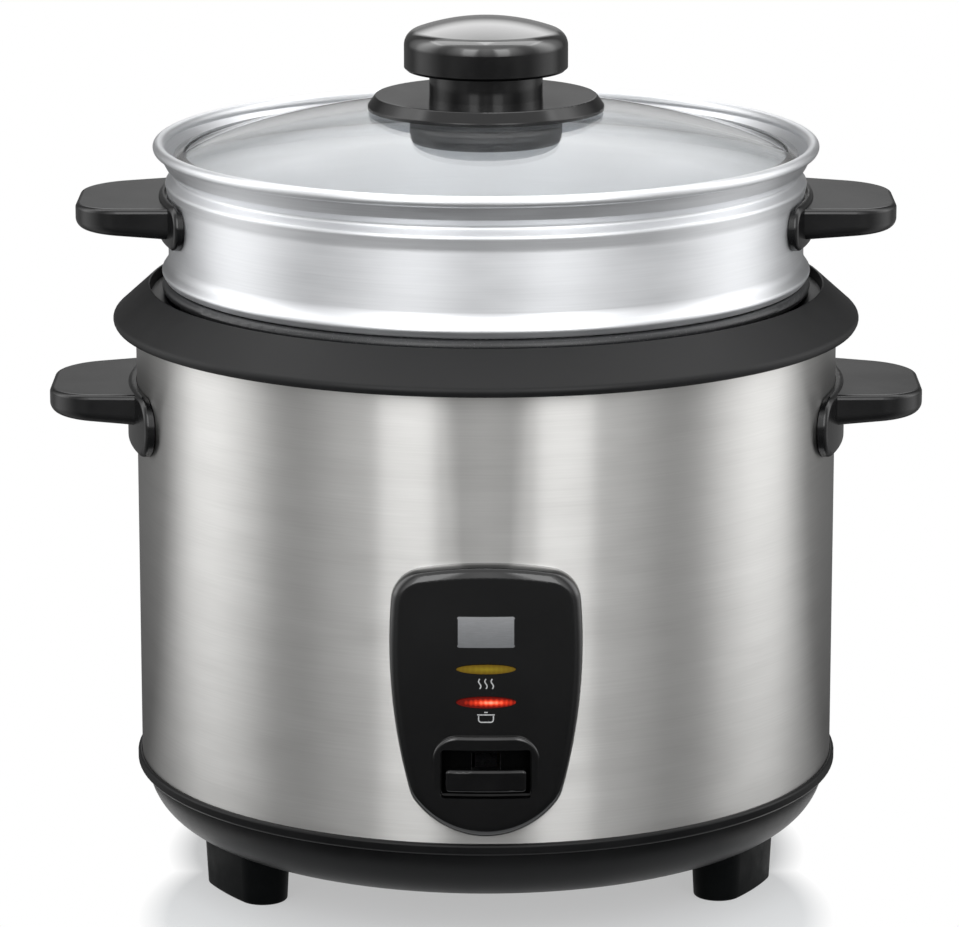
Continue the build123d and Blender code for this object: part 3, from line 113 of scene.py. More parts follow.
def moulded_plastic(name, dark, light, smooth, dull, grain=2600, patches=30, depth=2e-5, plain=None):
    """Plastic whose colour and gloss drift over patches, with the mould's fine skin as bump."""
    finish, shader = new_finish(name, plain or {})
    tree = finish.node_tree
    skin = add_node(tree, "Group", node_tree=moulded_skin)
    skin.inputs["Grain"].default_value = grain
    skin.inputs["Patches"].default_value = patches
    tone = skin.outputs["Tone"]
    tree.links.new(colour_between(tree, tone, dark, light), shader.inputs["Base Color"])
    tree.links.new(value_between(tree, tone, smooth, dull), shader.inputs["Roughness"])
    tree.links.new(bump(tree, skin.outputs["Height"], depth), shader.inputs["Normal"])
    return finish


def dress(finish, *nodes):
    """Puts a finish on CAD nodes."""
    for node in nodes:
        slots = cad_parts[node].data.materials
        slots.clear()
        slots.append(finish)


base_plastic = moulded_plastic("base_plastic", (0.0030, 0.0031, 0.0034), (0.0050, 0.0051, 0.0055),
                               0.34, 0.46, plain={"Specular IOR Level": 0.22})
dress(base_plastic, "base_cover")

# Feet: three lugs moulded in black polypropylene like the base, each held up by one screw.
# They are duller than the base, with small patches where the worktop has scuffed them.
foot_plastic = moulded_plastic("foot_plastic", (0.0016, 0.0021, 0.0023), (0.0034, 0.0040, 0.0042),
                               0.36, 0.56, patches=120, plain={"Specular IOR Level": 0.04})
dress(foot_plastic, "foot_front_left", "foot_front_right", "foot_rear")


# Plain screws, posts, springs, lever works and clips inside: steel turned, bent or pressed from sheet.
# All are zinc plated, and the plating has a faint mottled grey.
def plated_steel(name, dark, light, smooth, dull, scale=900, depth=1e-5):
    """Plated metal, its colour and gloss mottled."""
    finish, shader = new_finish(name, {"Metallic": 1.0})
    tree = finish.node_tree
    place = add_node(tree, "TexCoord").outputs["Object"]
    mottle = add_node(tree, "TexNoise", {"Vector": place, "Scale": scale, "Detail": 4.0}).outputs["Fac"]
    tree.links.new(colour_between(tree, mottle, dark, light), shader.inputs["Base Color"])
    tree.links.new(value_between(tree, mottle, smooth, dull), shader.inputs["Roughness"])
    tree.links.new(bump(tree, mottle, depth), shader.inputs["Normal"])
    return finish


zinc_steel = plated_steel("zinc_steel", (0.42, 0.43, 0.45), (0.56, 0.56, 0.57), 0.24, 0.38)
dress(zinc_steel, "plate_screws", "bracket_screws", "panel_screws", "support_posts", "lever_bracket",
      "lever_pin", "lever_arm", "pull_rod", "fuse_clip", "knob_screw", "sensor_spring", "release_spring",
      "body_handle_screws")

# Base screws and post screws: plated steel pan heads with a pressed cross recess.
# Three go up through the feet into the posts, and three come down from the liner's floor into them.
SCREW_HEAD_R = 0.0038
HEAD_SIDES, HEAD_RINGS, SHANK_SIDES = 40, 6, 20
HEAD_FLAT = -1e-4
CROWN_POWER = 3.0
RECESS_LONG, RECESS_SHORT = 1.15, 0.24
SPIN_SEED = 5
SHARP_EDGE = math.radians(35)


def new_geometry(name, inputs):
    """An empty geometry group with a mesh and named inputs in, and a mesh out."""
    group = bpy.data.node_groups.new(name, "GeometryNodeTree")
    group.interface.new_socket("Geometry", in_out="INPUT", socket_type="NodeSocketGeometry")
    for label, (kind, value) in inputs.items():
        socket = group.interface.new_socket(label, in_out="INPUT", socket_type="NodeSocket" + kind)
        if value is not None:
            socket.default_value = value
    group.interface.new_socket("Geometry", in_out="OUTPUT", socket_type="NodeSocketGeometry")
    return group, group.nodes.new("NodeGroupInput").outputs, group.nodes.new("NodeGroupOutput").inputs[0]


def geo_node(group, kind, inputs=None, **settings):
    """A geometry node with its settings, and each input given a value or a link."""
    node = group.nodes.new(kind)
    for setting, value in settings.items():
        setattr(node, setting, value)
    for socket, value in (inputs or {}).items():
        for part in value if isinstance(value, list) else [value]:
            if isinstance(part, bpy.types.NodeSocket):
                group.links.new(part, node.inputs[socket])
            else:
                node.inputs[socket].default_value = part
    return node.outputs[0]


def times(group, value, factor):
    """A value times a factor."""
    return geo_node(group, "ShaderNodeMath", {0: value, 1: factor}, operation="MULTIPLY")


def upward(group, height):
    """A vector along Z."""
    return geo_node(group, "ShaderNodeCombineXYZ", {"Z": height})


screw_geo, screw_in, screw_end = new_geometry("cross_screws", {
    "Head Radius": ("Float", SCREW_HEAD_R), "Head Height": ("Float", 0.0022), "Crown": ("Float", 0.0009),
    "Shank Radius": ("Float", 0.0018), "Shank Length": ("Float", 0.009), "Finish": ("Material", None)})
head_disc = geo_node(screw_geo, "GeometryNodeMeshCylinder", {
    "Vertices": HEAD_SIDES, "Side Segments": 1, "Fill Segments": HEAD_RINGS,
    "Radius": screw_in["Head Radius"], "Depth": screw_in["Head Height"]})
head_sunk = geo_node(screw_geo, "GeometryNodeTransform", {
    "Geometry": head_disc, "Translation": upward(screw_geo, times(screw_geo, screw_in["Head Height"], -0.5))})
head_place = geo_node(screw_geo, "GeometryNodeInputPosition")
head_flat = geo_node(screw_geo, "ShaderNodeVectorMath", {0: head_place, 1: (1, 1, 0)},
                     operation="MULTIPLY")
head_out = screw_geo.nodes.new("ShaderNodeVectorMath")
head_out.operation = "LENGTH"
screw_geo.links.new(head_flat, head_out.inputs[0])
head_share = geo_node(screw_geo, "ShaderNodeMath", {
    0: head_out.outputs["Value"], 1: screw_in["Head Radius"]}, operation="DIVIDE")
head_bow = geo_node(screw_geo, "ShaderNodeMath", {0: head_share, 1: CROWN_POWER}, operation="POWER")
head_top = screw_geo.nodes.new("ShaderNodeSeparateXYZ")
screw_geo.links.new(head_place, head_top.inputs[0])
head_is_top = geo_node(screw_geo, "ShaderNodeMath", {0: head_top.outputs["Z"], 1: HEAD_FLAT},
                       operation="GREATER_THAN")
head_drop = times(screw_geo, times(screw_geo, head_bow, screw_in["Crown"]), -1.0)
head_domed = geo_node(screw_geo, "GeometryNodeSetPosition", {
    "Geometry": head_sunk, "Selection": head_is_top, "Offset": upward(screw_geo, head_drop)})
recess_bars = []
for along_x, along_y in ((RECESS_LONG, RECESS_SHORT), (RECESS_SHORT, RECESS_LONG)):
    bar_x = times(screw_geo, screw_in["Head Radius"], along_x)
    bar_y = times(screw_geo, screw_in["Head Radius"], along_y)
    bar = geo_node(screw_geo, "ShaderNodeCombineXYZ", {
        "X": bar_x, "Y": bar_y, "Z": screw_in["Head Height"]})
    recess_bars.append(geo_node(screw_geo, "GeometryNodeMeshCube", {"Size": bar}))
head_cut = geo_node(screw_geo, "GeometryNodeMeshBoolean", {"Mesh 1": head_domed, "Mesh 2": recess_bars},
                    operation="DIFFERENCE")
shank = geo_node(screw_geo, "GeometryNodeMeshCylinder", {
    "Vertices": SHANK_SIDES, "Radius": screw_in["Shank Radius"], "Depth": screw_in["Shank Length"]})
shank_half = times(screw_geo, screw_in["Shank Length"], -0.5)
shank_drop = geo_node(screw_geo, "ShaderNodeMath", {0: shank_half, 1: screw_in["Head Height"]},
                      operation="SUBTRACT")
shank_low = geo_node(screw_geo, "GeometryNodeTransform", {
    "Geometry": shank, "Translation": upward(screw_geo, shank_drop)})
one_screw = geo_node(screw_geo, "GeometryNodeJoinGeometry", {"Geometry": [head_cut, shank_low]})
screw_out = geo_node(screw_geo, "GeometryNodeInputNamedAttribute", {"Name": "out"},
                     data_type="FLOAT_VECTOR")
screw_aim = geo_node(screw_geo, "FunctionNodeAlignRotationToVector", {"Vector": screw_out}, axis="Z")
screw_angle = screw_geo.nodes.new("FunctionNodeRandomValue")
screw_angle.inputs["Seed"].default_value = SPIN_SEED
screw_spin = geo_node(screw_geo, "FunctionNodeAxisAngleToRotation", {
    "Axis": (0, 0, 1), "Angle": times(screw_geo, screw_angle.outputs[1], math.pi)})
screw_turn = geo_node(screw_geo, "FunctionNodeRotateRotation", {
    "Rotation": screw_aim, "Rotate By": screw_spin}, rotation_space="LOCAL")
screw_set = geo_node(screw_geo, "GeometryNodeInstanceOnPoints", {
    "Points": screw_in["Geometry"], "Instance": one_screw, "Rotation": screw_turn})
screw_real = geo_node(screw_geo, "GeometryNodeRealizeInstances", {"Geometry": screw_set})
screw_dressed = geo_node(screw_geo, "GeometryNodeSetMaterial", {
    "Geometry": screw_real, "Material": screw_in["Finish"]})
screw_geo.links.new(screw_dressed, screw_end)


def grown(name, points, group, values, attribute=None):
    """Mesh object that a geometry group grows from points, with a vector attribute if one is given."""
    mesh = bpy.data.meshes.new(name)
    mesh.from_pydata(points, [], [])
    if attribute:
        label, vectors = attribute
        store = mesh.attributes.new(label, "FLOAT_VECTOR", "POINT")
        for k, vector in enumerate(vectors):
            store.data[k].vector = vector
    piece = bpy.data.objects.new(name, mesh)
    bpy.context.scene.collection.objects.link(piece)
    grow = piece.modifiers.new(name, "NODES")
    grow.node_group = group
    for item in group.interface.items_tree:
        if item.name in values:
            grow[item.identifier] = values[item.name]
    ready = piece.evaluated_get(bpy.context.evaluated_depsgraph_get())
    solid = bpy.data.meshes.new_from_object(ready)
    piece.modifiers.remove(grow)
    piece.data = solid
    solid.shade_smooth()
    solid.set_sharp_from_angle(angle=SHARP_EDGE)
    return piece


def put_screws(node, body, heads, ways, sizes):
    """Screws with cross recesses in place of a CAD node's plain ones, heads at points and facing ways."""
    piece = grown(node + "_cross", heads, screw_geo, {**sizes, "Finish": zinc_steel}, ("out", ways))
    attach(piece, body)
    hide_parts(node)


POST_CIRCLE = 0.1005
FOOT_TURNS = [math.radians(angle) for angle in (-28.0, 211.3, 90.0)]
foot_middles = [(POST_CIRCLE * math.cos(turn), POST_CIRCLE * math.sin(turn)) for turn in FOOT_TURNS]
base_screw_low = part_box("base_screws")[0].z
post_screw_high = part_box("post_screws")[1].z
put_screws("base_screws", "cooker", [(x, y, base_screw_low) for x, y in foot_middles], [(0, 0, -1)] * 3,
           {"Head Radius": 0.0029, "Shank Length": 0.020})
put_screws("post_screws", "cooker", [(x, y, post_screw_high) for x, y in foot_middles], [(0, 0, 1)] * 3, {})

# Inner liner: the deep pressed can that hangs in the top ring and carries the heater, aluminised steel
# sheet with the fine circles that the press leaves around it. Its top band is coloured near black and not
# metallic, as painted shade in the dark gap between the ring and the steamer.
FLANGE_BAND, FLANGE_EDGE = 0.0016, 0.0002
FLANGE_SHADE_BLACK = (0.008, 0.008, 0.009, 1)
BROAD_SHARE = 0.06
turned_grain, grain_in, grain_out = new_effect("turned_grain", {"Lines": 1500, "Sweep": 4},
                                               ("Line", "Broad"))
grain_place = add_node(turned_grain, "TexCoord").outputs["Object"]
grain_flat = add_node(turned_grain, "VectorMath", {0: grain_place, 1: (1, 1, 0)},
                      operation="MULTIPLY").outputs[0]
grain_around = add_node(turned_grain, "VectorMath", {0: grain_flat}, operation="NORMALIZE").outputs[0]
grain_radius = add_node(turned_grain, "VectorMath", {0: grain_flat}, operation="LENGTH").outputs["Value"]
grain_height = add_node(turned_grain, "SeparateXYZ", {0: grain_place}).outputs["Z"]
grain_along = add_node(turned_grain, "Math", {0: grain_radius, 1: grain_height}, operation="ADD").outputs[0]
for label, share, detail in (("Line", 1.0, 3.0), ("Broad", BROAD_SHARE, 2.0)):
    pitch = add_node(turned_grain, "Math", {0: grain_in.outputs["Lines"], 1: share},
                     operation="MULTIPLY").outputs[0]
    across = add_node(turned_grain, "Math", {0: grain_along, 1: pitch}, operation="MULTIPLY").outputs[0]
    sweep = add_node(turned_grain, "VectorMath", {0: grain_around, "Scale": grain_in.outputs["Sweep"]},
                     operation="SCALE").outputs[0]
    lift = add_node(turned_grain, "CombineXYZ", {"Z": across}).outputs[0]
    where = add_node(turned_grain, "VectorMath", {0: sweep, 1: lift}, operation="ADD").outputs[0]
    lines = add_node(turned_grain, "TexNoise", {"Vector": where, "Scale": 1.0, "Detail": detail,
                                                "Roughness": 0.6})
    turned_grain.links.new(lines.outputs["Fac"], grain_out.inputs[label])


def turned_metal(name, dark, light, smooth, dull, lines, sweep, depth, plain=None):
    """Metal whose polishing lines run around the cooker's axis."""
    finish, shader = new_finish(name, {"Metallic": 1.0, "Anisotropic Rotation": 0.25, **(plain or {})})
    tree = finish.node_tree
    grain = add_node(tree, "Group", node_tree=turned_grain)
    grain.inputs["Lines"].default_value = lines
    grain.inputs["Sweep"].default_value = sweep
    line, broad = grain.outputs["Line"], grain.outputs["Broad"]
    both = add_node(tree, "Math", {0: line, 1: broad}, operation="ADD").outputs[0]
    half = add_node(tree, "Math", {0: both, 1: 0.5}, operation="MULTIPLY").outputs[0]
    tree.links.new(colour_between(tree, half, dark, light), shader.inputs["Base Color"])
    tree.links.new(value_between(tree, half, smooth, dull), shader.inputs["Roughness"])
    tree.links.new(bump(tree, line, depth), shader.inputs["Normal"])
    around = add_node(tree, "Tangent", direction_type="RADIAL", axis="Z")
    tree.links.new(around.outputs["Tangent"], shader.inputs["Tangent"])
    return finish


def height_above(tree, low, high):
    """Mask that goes from 0 at the height low to 1 at the height high."""
    place = add_node(tree, "TexCoord").outputs["Object"]
    height = add_node(tree, "SeparateXYZ", {0: place}).outputs["Z"]
    return value_between(tree, height, 0.0, 1.0, (low, high))


def colour_mix(tree, mask, under, over):
    """Colour that goes from under to over as mask does."""
    return add_node(tree, "Mix", {0: mask, 6: under, 7: over}, data_type="RGBA").outputs[2]


liner_sheet = turned_metal("liner_sheet", (0.40, 0.41, 0.42), (0.55, 0.56, 0.57), 0.30, 0.45, 700, 5, 1e-5,
                           {"Anisotropic": 0.4})
liner_tree = liner_sheet.node_tree
liner_shader = liner_tree.nodes["Principled BSDF"]
# Top band of the liner: near black, not metallic, painted shade for the dark gap inside the ring.
flange_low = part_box("inner_liner")[1].z - FLANGE_BAND
on_shaded_flange = height_above(liner_tree, flange_low, flange_low + FLANGE_EDGE)
liner_bare = liner_shader.inputs["Base Color"].links[0].from_socket
liner_tree.links.new(colour_mix(liner_tree, on_shaded_flange, liner_bare, FLANGE_SHADE_BLACK),
                     liner_shader.inputs["Base Color"])
liner_tree.links.new(value_between(liner_tree, on_shaded_flange, 1.0, 0.0, (0.0, 1.0)),
                     liner_shader.inputs["Metallic"])
dress(liner_sheet, "inner_liner")

# Heating plate: a thick cast aluminium disc, faced on the lathe where the pot stands on it.
# The element is cast into its underside, in a dark nickel alloy tube with a dull oxide skin.
cast_plate = turned_metal("cast_plate", (0.50, 0.50, 0.50), (0.66, 0.66, 0.66), 0.34, 0.52, 900, 3, 2e-5,
                          {"Anisotropic": 0.6})
dress(cast_plate, "heating_plate")
element_tube = plated_steel("element_tube", (0.060, 0.055, 0.052), (0.14, 0.13, 0.12), 0.40, 0.62, 700)
dress(element_tube, "heating_element")

# Magnetic thermostat: a spun aluminium cup in the plate's middle that the pot presses down.
# Inside it are a black ferrite slug and the magnet on the pull rod, both pressed from powder and fired.
sensor_metal = turned_metal("sensor_metal", (0.56, 0.56, 0.57), (0.72, 0.72, 0.73), 0.25, 0.40, 2200, 3, 1e-5,
                            {"Anisotropic": 0.5})
dress(sensor_metal, "sensor_cup")
ferrite_black = moulded_plastic("ferrite_black", (0.020, 0.020, 0.022), (0.045, 0.044, 0.046),
                                0.42, 0.60, 1500, 200)
dress(ferrite_black, "ferrite", "magnet")

# Micro switch, lamp holder and thermostat housing: small cream mouldings of heat proof nylon under the liner.
# The switch's plunger is a red pin that the lever lets out.
inner_plastic = moulded_plastic("inner_plastic", (0.52, 0.47, 0.37), (0.62, 0.57, 0.46), 0.40, 0.52, 1800, 60)
dress(inner_plastic, "thermostat_housing", "micro_switch", "lamp_holder")
plunger_red = moulded_plastic("plunger_red", (0.40, 0.03, 0.02), (0.50, 0.05, 0.03), 0.32, 0.44, 1800, 90)
dress(plunger_red, "switch_plunger")

# Keep-warm thermostat and thermal fuse: small bought-in parts clipped against the hot metal.
# The thermostat's body is brown phenolic, and the fuse lies in a pale glass fibre sleeve.
phenolic = moulded_plastic("phenolic", (0.050, 0.026, 0.014), (0.085, 0.045, 0.025), 0.34, 0.50, 1500, 120)
dress(phenolic, "keep_warm_thermostat")
fuse_sleeve = moulded_plastic("fuse_sleeve", (0.55, 0.53, 0.48), (0.68, 0.66, 0.60),
                              0.55, 0.72, 3200, 200, 5e-5)
dress(fuse_sleeve, "thermal_fuse")

# Wires: stranded copper in silicone covers, brown, blue and white, crimped at both ends.
# They run from the inlet and the switch to the heater's tabs.
for cover, node, dark, light in (
        ("live_cover", "live_wire", (0.13, 0.055, 0.020), (0.18, 0.080, 0.030)),
        ("neutral_cover", "neutral_wire", (0.025, 0.09, 0.27), (0.035, 0.12, 0.35)),
        ("white_cover", "heater_wires", (0.62, 0.61, 0.58), (0.74, 0.73, 0.70))):
    dress(moulded_plastic(cover, dark, light, 0.42, 0.55, 900, 60), node)

# Outer shell: the drum, stainless sheet brushed along its length and then rolled round, so that the lines
# run round it and light smears up and down.
shell_steel = turned_metal("shell_steel", (0.63, 0.625, 0.61), (0.71, 0.705, 0.69),
                           0.29, 0.33, 1700, 3.5, 4e-6, {"Anisotropic": 1.0})
dress(shell_steel, "outer_shell")

# Top ring: the sloping collar that closes the drum's upper edge and carries the liner's flange.
# It is moulded in black plastic, duller than the handles.
ring_plastic = moulded_plastic("ring_plastic", (0.0078, 0.0079, 0.0083), (0.0115, 0.0116, 0.0121),
                               0.40, 0.50, 2400, 28, plain={"Specular IOR Level": 0.26})
dress(ring_plastic, "top_ring")

# Body and steamer handles: pressed phenolic, black, with a tumbled semi-gloss.
# Each is held by two screws driven from inside the wall.
handle_plastic = moulded_plastic("handle_plastic", (0.0034, 0.0034, 0.0038), (0.0056, 0.0056, 0.0060),
                                 0.15, 0.24, 2000, 40, 5e-6)
dress(handle_plastic, "body_handle_left", "body_handle_right", "steamer_handle_left", "steamer_handle_right")

# Front panel: a shield moulded in gloss black, with a hood around the key's pocket and two lens windows.
# Its face is polished, and its rounded rim shows the light all round.
panel_gloss = moulded_plastic("panel_gloss", (0.0050, 0.0050, 0.0052), (0.0068, 0.0068, 0.0070),
                              0.12, 0.18, 1400, 30, 2e-6, {"Coat Weight": 0.4, "Coat Roughness": 0.06})
dress(panel_gloss, "front_panel")

# Name plate: a bare slip of satin aluminium with bevelled edges, stamped out and bent to the panel's curve.
# It is glued on in the middle of the panel's upper half.
PANEL_R = 0.1362
PLATE_W, PLATE_H, PLATE_CORNER = 0.0203, 0.0112, 0.0008
PLATE_RISE, PLATE_BEVEL, PLATE_SUNK = 0.0003, 0.0003, 0.0002
PLATE_Z = 0.1213
PLATE_STEPS = 40
SATIN_PULL = (400, 400, 14000)


def on_panel(x, z, rise):
    """Point of the panel's curved face, x measured along it, lifted by rise."""
    r = PANEL_R + rise
    return (r * math.sin(x / PANEL_R), -r * math.cos(x / PANEL_R), z)


def new_piece(name, points, faces, finish):
    """Mesh object with smooth faces and one finish."""
    mesh = bpy.data.meshes.new(name)
    mesh.from_pydata(points, [], faces)
    mesh.materials.append(finish)
    mesh.shade_smooth()
    mesh.set_sharp_from_angle(angle=SHARP_EDGE)
    piece = bpy.data.objects.new(name, mesh)
    bpy.context.scene.collection.objects.link(piece)
    return piece


def half_height(x, inset):
    """Half the plate's height at x, its corners rounded, the outline drawn in by inset."""
    over = abs(x) - (PLATE_W / 2 - PLATE_CORNER)
    r = PLATE_CORNER - inset
    return PLATE_H / 2 - PLATE_CORNER + (r if over <= 0 else math.sqrt(max(r * r - over * over, 0)))


plate_points = []
plate_faces = []
plate_turns = [math.sin(math.pi * (k / PLATE_STEPS - 0.5)) for k in range(PLATE_STEPS + 1)]
for inset, rise in ((0, -PLATE_SUNK), (0, PLATE_RISE - PLATE_BEVEL / 2), (PLATE_BEVEL, PLATE_RISE)):
    for side in (-1, 1):
        for turn in plate_turns:
            x = turn * (PLATE_W / 2 - inset)
            plate_points.append(on_panel(x, PLATE_Z + side * half_height(x, inset), rise))
plate_count = len(plate_turns)
for k in range(plate_count - 1):
    for level in (0, 1):
        low = level * 2 * plate_count + k
        above = low + 2 * plate_count
        plate_faces.append((low, low + 1, above + 1, above))
        low, above = low + plate_count, above + plate_count
        plate_faces.append((low + 1, low, above, above + 1))
    top = 4 * plate_count + k
    plate_faces.append((top, top + 1, top + plate_count + 1, top + plate_count))
plate_satin, satin_shader = new_finish("plate_satin", {"Metallic": 0.4})
satin_tree = plate_satin.node_tree
satin_place = add_node(satin_tree, "TexCoord").outputs["Object"]
satin_pull = add_node(satin_tree, "VectorMath", {0: satin_place, 1: SATIN_PULL},
                      operation="MULTIPLY").outputs[0]
satin_line = add_node(satin_tree, "TexNoise", {"Vector": satin_pull, "Scale": 1.0,
                                               "Detail": 3.0}).outputs["Fac"]
satin_tree.links.new(colour_between(satin_tree, satin_line, (0.20, 0.203, 0.21), (0.27, 0.273, 0.28)),
                     satin_shader.inputs["Base Color"])
satin_tree.links.new(value_between(satin_tree, satin_line, 0.52, 0.64), satin_shader.inputs["Roughness"])
satin_tree.links.new(bump(satin_tree, satin_line, 8e-6), satin_shader.inputs["Normal"])
name_plate = new_piece("name_plate", plate_points, plate_faces, plate_satin)
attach(name_plate, "cooker")

# Pocket pad: a near-black sheet, cut with a slot for the lever and laid on the pocket's floor.
# Its near-black, nearly glossless colour is painted shade that darkens the recess.
PAD_R, PAD_T = 0.1315, 0.0002
PAD_STEP = 0.0052
PAD_RISES = (-0.0062, -0.0026, 0.0034, 0.0089, 0.0107)
SLOT_ROWS, SLOT_COLUMNS = (1, 2), (2, 3)
key_low, key_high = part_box("switch_key")
key_middle = (key_low.z + key_high.z) / 2
pad_columns = [PAD_STEP * k for k in range(-3, 4)]
pad_rows = [key_middle + rise for rise in PAD_RISES]
pad_points = [((PAD_R + PAD_T) * math.sin(x / PAD_R), -(PAD_R + PAD_T) * math.cos(x / PAD_R), z)
              for z in pad_rows for x in pad_columns]
pad_faces = []
for row in range(len(pad_rows) - 1):
    for column in range(len(pad_columns) - 1):
        in_slot = row in SLOT_ROWS and column in SLOT_COLUMNS
        if not in_slot:
            corner = row * len(pad_columns) + column
            above = corner + len(pad_columns)
            pad_faces.append((corner, corner + 1, above + 1, above))
# Near-black colour with little gloss: painted shade in the key's pocket.
pocket_shade_felt = moulded_plastic("pocket_shade_felt", (0.0008, 0.0008, 0.0009), (0.0022, 0.0022, 0.0023),
                             0.9, 1.0, 6000, 400, 6e-5, {"Specular IOR Level": 0.04})
pocket_shade_pad = new_piece("pocket_shade_pad", pad_points, pad_faces, pocket_shade_felt)
pad_body = pocket_shade_pad.modifiers.new("thickness", "SOLIDIFY")
pad_body.thickness = PAD_T
pad_body.offset = -1.0
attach(pocket_shade_pad, "cooker")

# Lamp symbols: wavy lines of warmth under the amber lens and a pot with its lid under the red one.
# They are pad printed on the panel in pale grey ink.
WARM_SYMBOL_Z, COOK_SYMBOL_Z = 0.1026, 0.0904
INK_W, INK_RISE = 0.00042, 0.00004
WAVE_GAP, WAVE_SWING, WAVE_HALF, WAVE_STEPS = 0.0022, 0.0004, 0.0018, 8
POT_HALF, POT_ROUND, POT_STEPS = 0.0026, 0.0010, 8
POT_LOW, POT_HIGH = COOK_SYMBOL_Z - 0.0018, COOK_SYMBOL_Z + 0.0005
LID_BAR, LID_GRIP = (0.0031, COOK_SYMBOL_Z + 0.0009), (0.0006, COOK_SYMBOL_Z + 0.0018)


def ink_stroke(path, points, faces):
    """Adds a strip of ink that follows a path of (x, z) points on the panel."""
    first = len(points)
    for k, (x, z) in enumerate(path):
        ahead, behind = path[min(k + 1, len(path) - 1)], path[max(k - 1, 0)]
        run = Vector((ahead[0] - behind[0], ahead[1] - behind[1])).normalized() * INK_W / 2
        points += [on_panel(x - run.y, z + run.x, INK_RISE), on_panel(x + run.y, z - run.x, INK_RISE)]
        if k:
            last = first + 2 * k
            faces.append((last - 2, last - 1, last + 1, last))


ink_points = []
ink_faces = []
for middle in (-WAVE_GAP, 0, WAVE_GAP):
    ink_stroke([(middle + WAVE_SWING * math.sin(k * math.pi / WAVE_STEPS),
                 WARM_SYMBOL_Z + WAVE_HALF * (k / WAVE_STEPS - 1)) for k in range(2 * WAVE_STEPS + 1)],
               ink_points, ink_faces)
pot_angles = [k * math.pi / (2 * POT_STEPS) for k in range(POT_STEPS + 1)]
pot_bend = [(POT_HALF - POT_ROUND + POT_ROUND * math.cos(angle),
             POT_LOW + POT_ROUND - POT_ROUND * math.sin(angle)) for angle in pot_angles]
ink_stroke([(-POT_HALF, POT_HIGH)] + [(-x, z) for x, z in pot_bend] + pot_bend[::-1] + [(POT_HALF, POT_HIGH)],
           ink_points, ink_faces)
for half, z in (LID_BAR, LID_GRIP):
    ink_stroke([(half * k / 4, z) for k in range(-4, 5)], ink_points, ink_faces)
pale_ink = moulded_plastic("pale_ink", (0.44, 0.44, 0.44), (0.56, 0.56, 0.56), 0.45, 0.60, 5000, 900, 3e-6)
lamp_symbols = new_piece("lamp_symbols", ink_points, ink_faces, pale_ink)
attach(lamp_symbols, "cooker")

# Switch key: the cook lever's finger piece, moulded in gloss black and pushed on the lever's end.
# Fingers have left small duller patches on it.
key_gloss = moulded_plastic("key_gloss", (0.0028, 0.0028, 0.0030), (0.0045, 0.0045, 0.0048),
                            0.12, 0.22, 1400, 90, 3e-6)
dress(key_gloss, "switch_key")

# Lenses: clear moulded slips, amber for warm and red for cook, each with a small neon lamp behind it.
# The cook lamp is on, and its light is painted on the red lens as a glow, brightest just right of the middle.
# Both tints are painted lighter at the lamp's spot and darker toward the ends, as painted light and shade.
LENS_REACH_X, LENS_REACH_Z = 0.6, 0.75
LENS_RIBS, LENS_UNEVEN = 180.0, 0.10
RED_PAINTED_SPOT_SHIFT = 0.15


def colour_steps(tree, fac, steps):
    """Colour that follows (place, colour) steps."""
    ramp = add_node(tree, "ValToRGB", {"Fac": fac})
    stops = ramp.color_ramp.elements
    while len(stops) < len(steps):
        stops.new(0.5)
    for stop, (place, colour) in zip(stops, steps):
        stop.position = place
        stop.color = (*colour, 1)
    return ramp.outputs["Color"]


def lens_finish(name, node, tint_and_shade, painted_glow=None, strength=0.0, painted_spot_shift=0.0):
    """Tinted lens; tint_and_shade (its colour with painted light and shade) and painted_glow (the lamp's
    light painted on as emission) are steps of colour from the lamp's spot out to the lens's ends.
    """
    low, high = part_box(node)
    finish, shader = new_finish(name, {"Roughness": 0.14, "Coat Weight": 0.3, "Coat Roughness": 0.05,
                                       "Emission Strength": strength})
    tree = finish.node_tree
    place = add_node(tree, "TexCoord").outputs["Object"]
    half = (high - low) / 2
    middle = (low + high) / 2
    shift = add_node(tree, "VectorMath", {0: place, 1: (middle.x + painted_spot_shift * half.x, 0, middle.z)},
                     operation="SUBTRACT").outputs[0]
    reaches = (LENS_REACH_X / half.x, 0, LENS_REACH_Z / half.z)
    scaled = add_node(tree, "VectorMath", {0: shift, 1: reaches}, operation="MULTIPLY").outputs[0]
    out = add_node(tree, "VectorMath", {0: scaled}, operation="LENGTH").outputs["Value"]
    ribs = add_node(tree, "TexWave", {"Vector": place, "Scale": LENS_RIBS, "Distortion": 3.0,
                                      "Detail": 2.0}).outputs["Fac"]
    uneven = add_node(tree, "Math", {0: ribs, 1: LENS_UNEVEN}, operation="MULTIPLY").outputs[0]
    reach = add_node(tree, "Math", {0: out, 1: uneven}, operation="ADD").outputs[0]
    tree.links.new(colour_steps(tree, reach, tint_and_shade), shader.inputs["Base Color"])
    if painted_glow:
        tree.links.new(colour_steps(tree, reach, painted_glow), shader.inputs["Emission Color"])
    return finish


# Tints are painted lighter at the lamp's spot and darker at the ends; the red lens's glow is painted light.
amber_tint_and_shade = [(0.1, (0.30, 0.215, 0.010)), (0.65, (0.17, 0.10, 0.004))]
red_tint_and_shade = [(0.1, (0.40, 0.02, 0.006)), (0.6, (0.10, 0.003, 0.001))]
red_painted_glow = [(0.08, (1.0, 0.42, 0.27)), (0.22, (0.95, 0.16, 0.07)),
            (0.36, (0.55, 0.025, 0.006)), (0.62, (0.06, 0.001, 0.0))]
dress(lens_finish("amber_lens", "warm_lens", amber_tint_and_shade), "warm_lens")
dress(lens_finish("red_lens", "cook_lens", red_tint_and_shade, red_painted_glow, 1.0, RED_PAINTED_SPOT_SHIFT), "cook_lens")

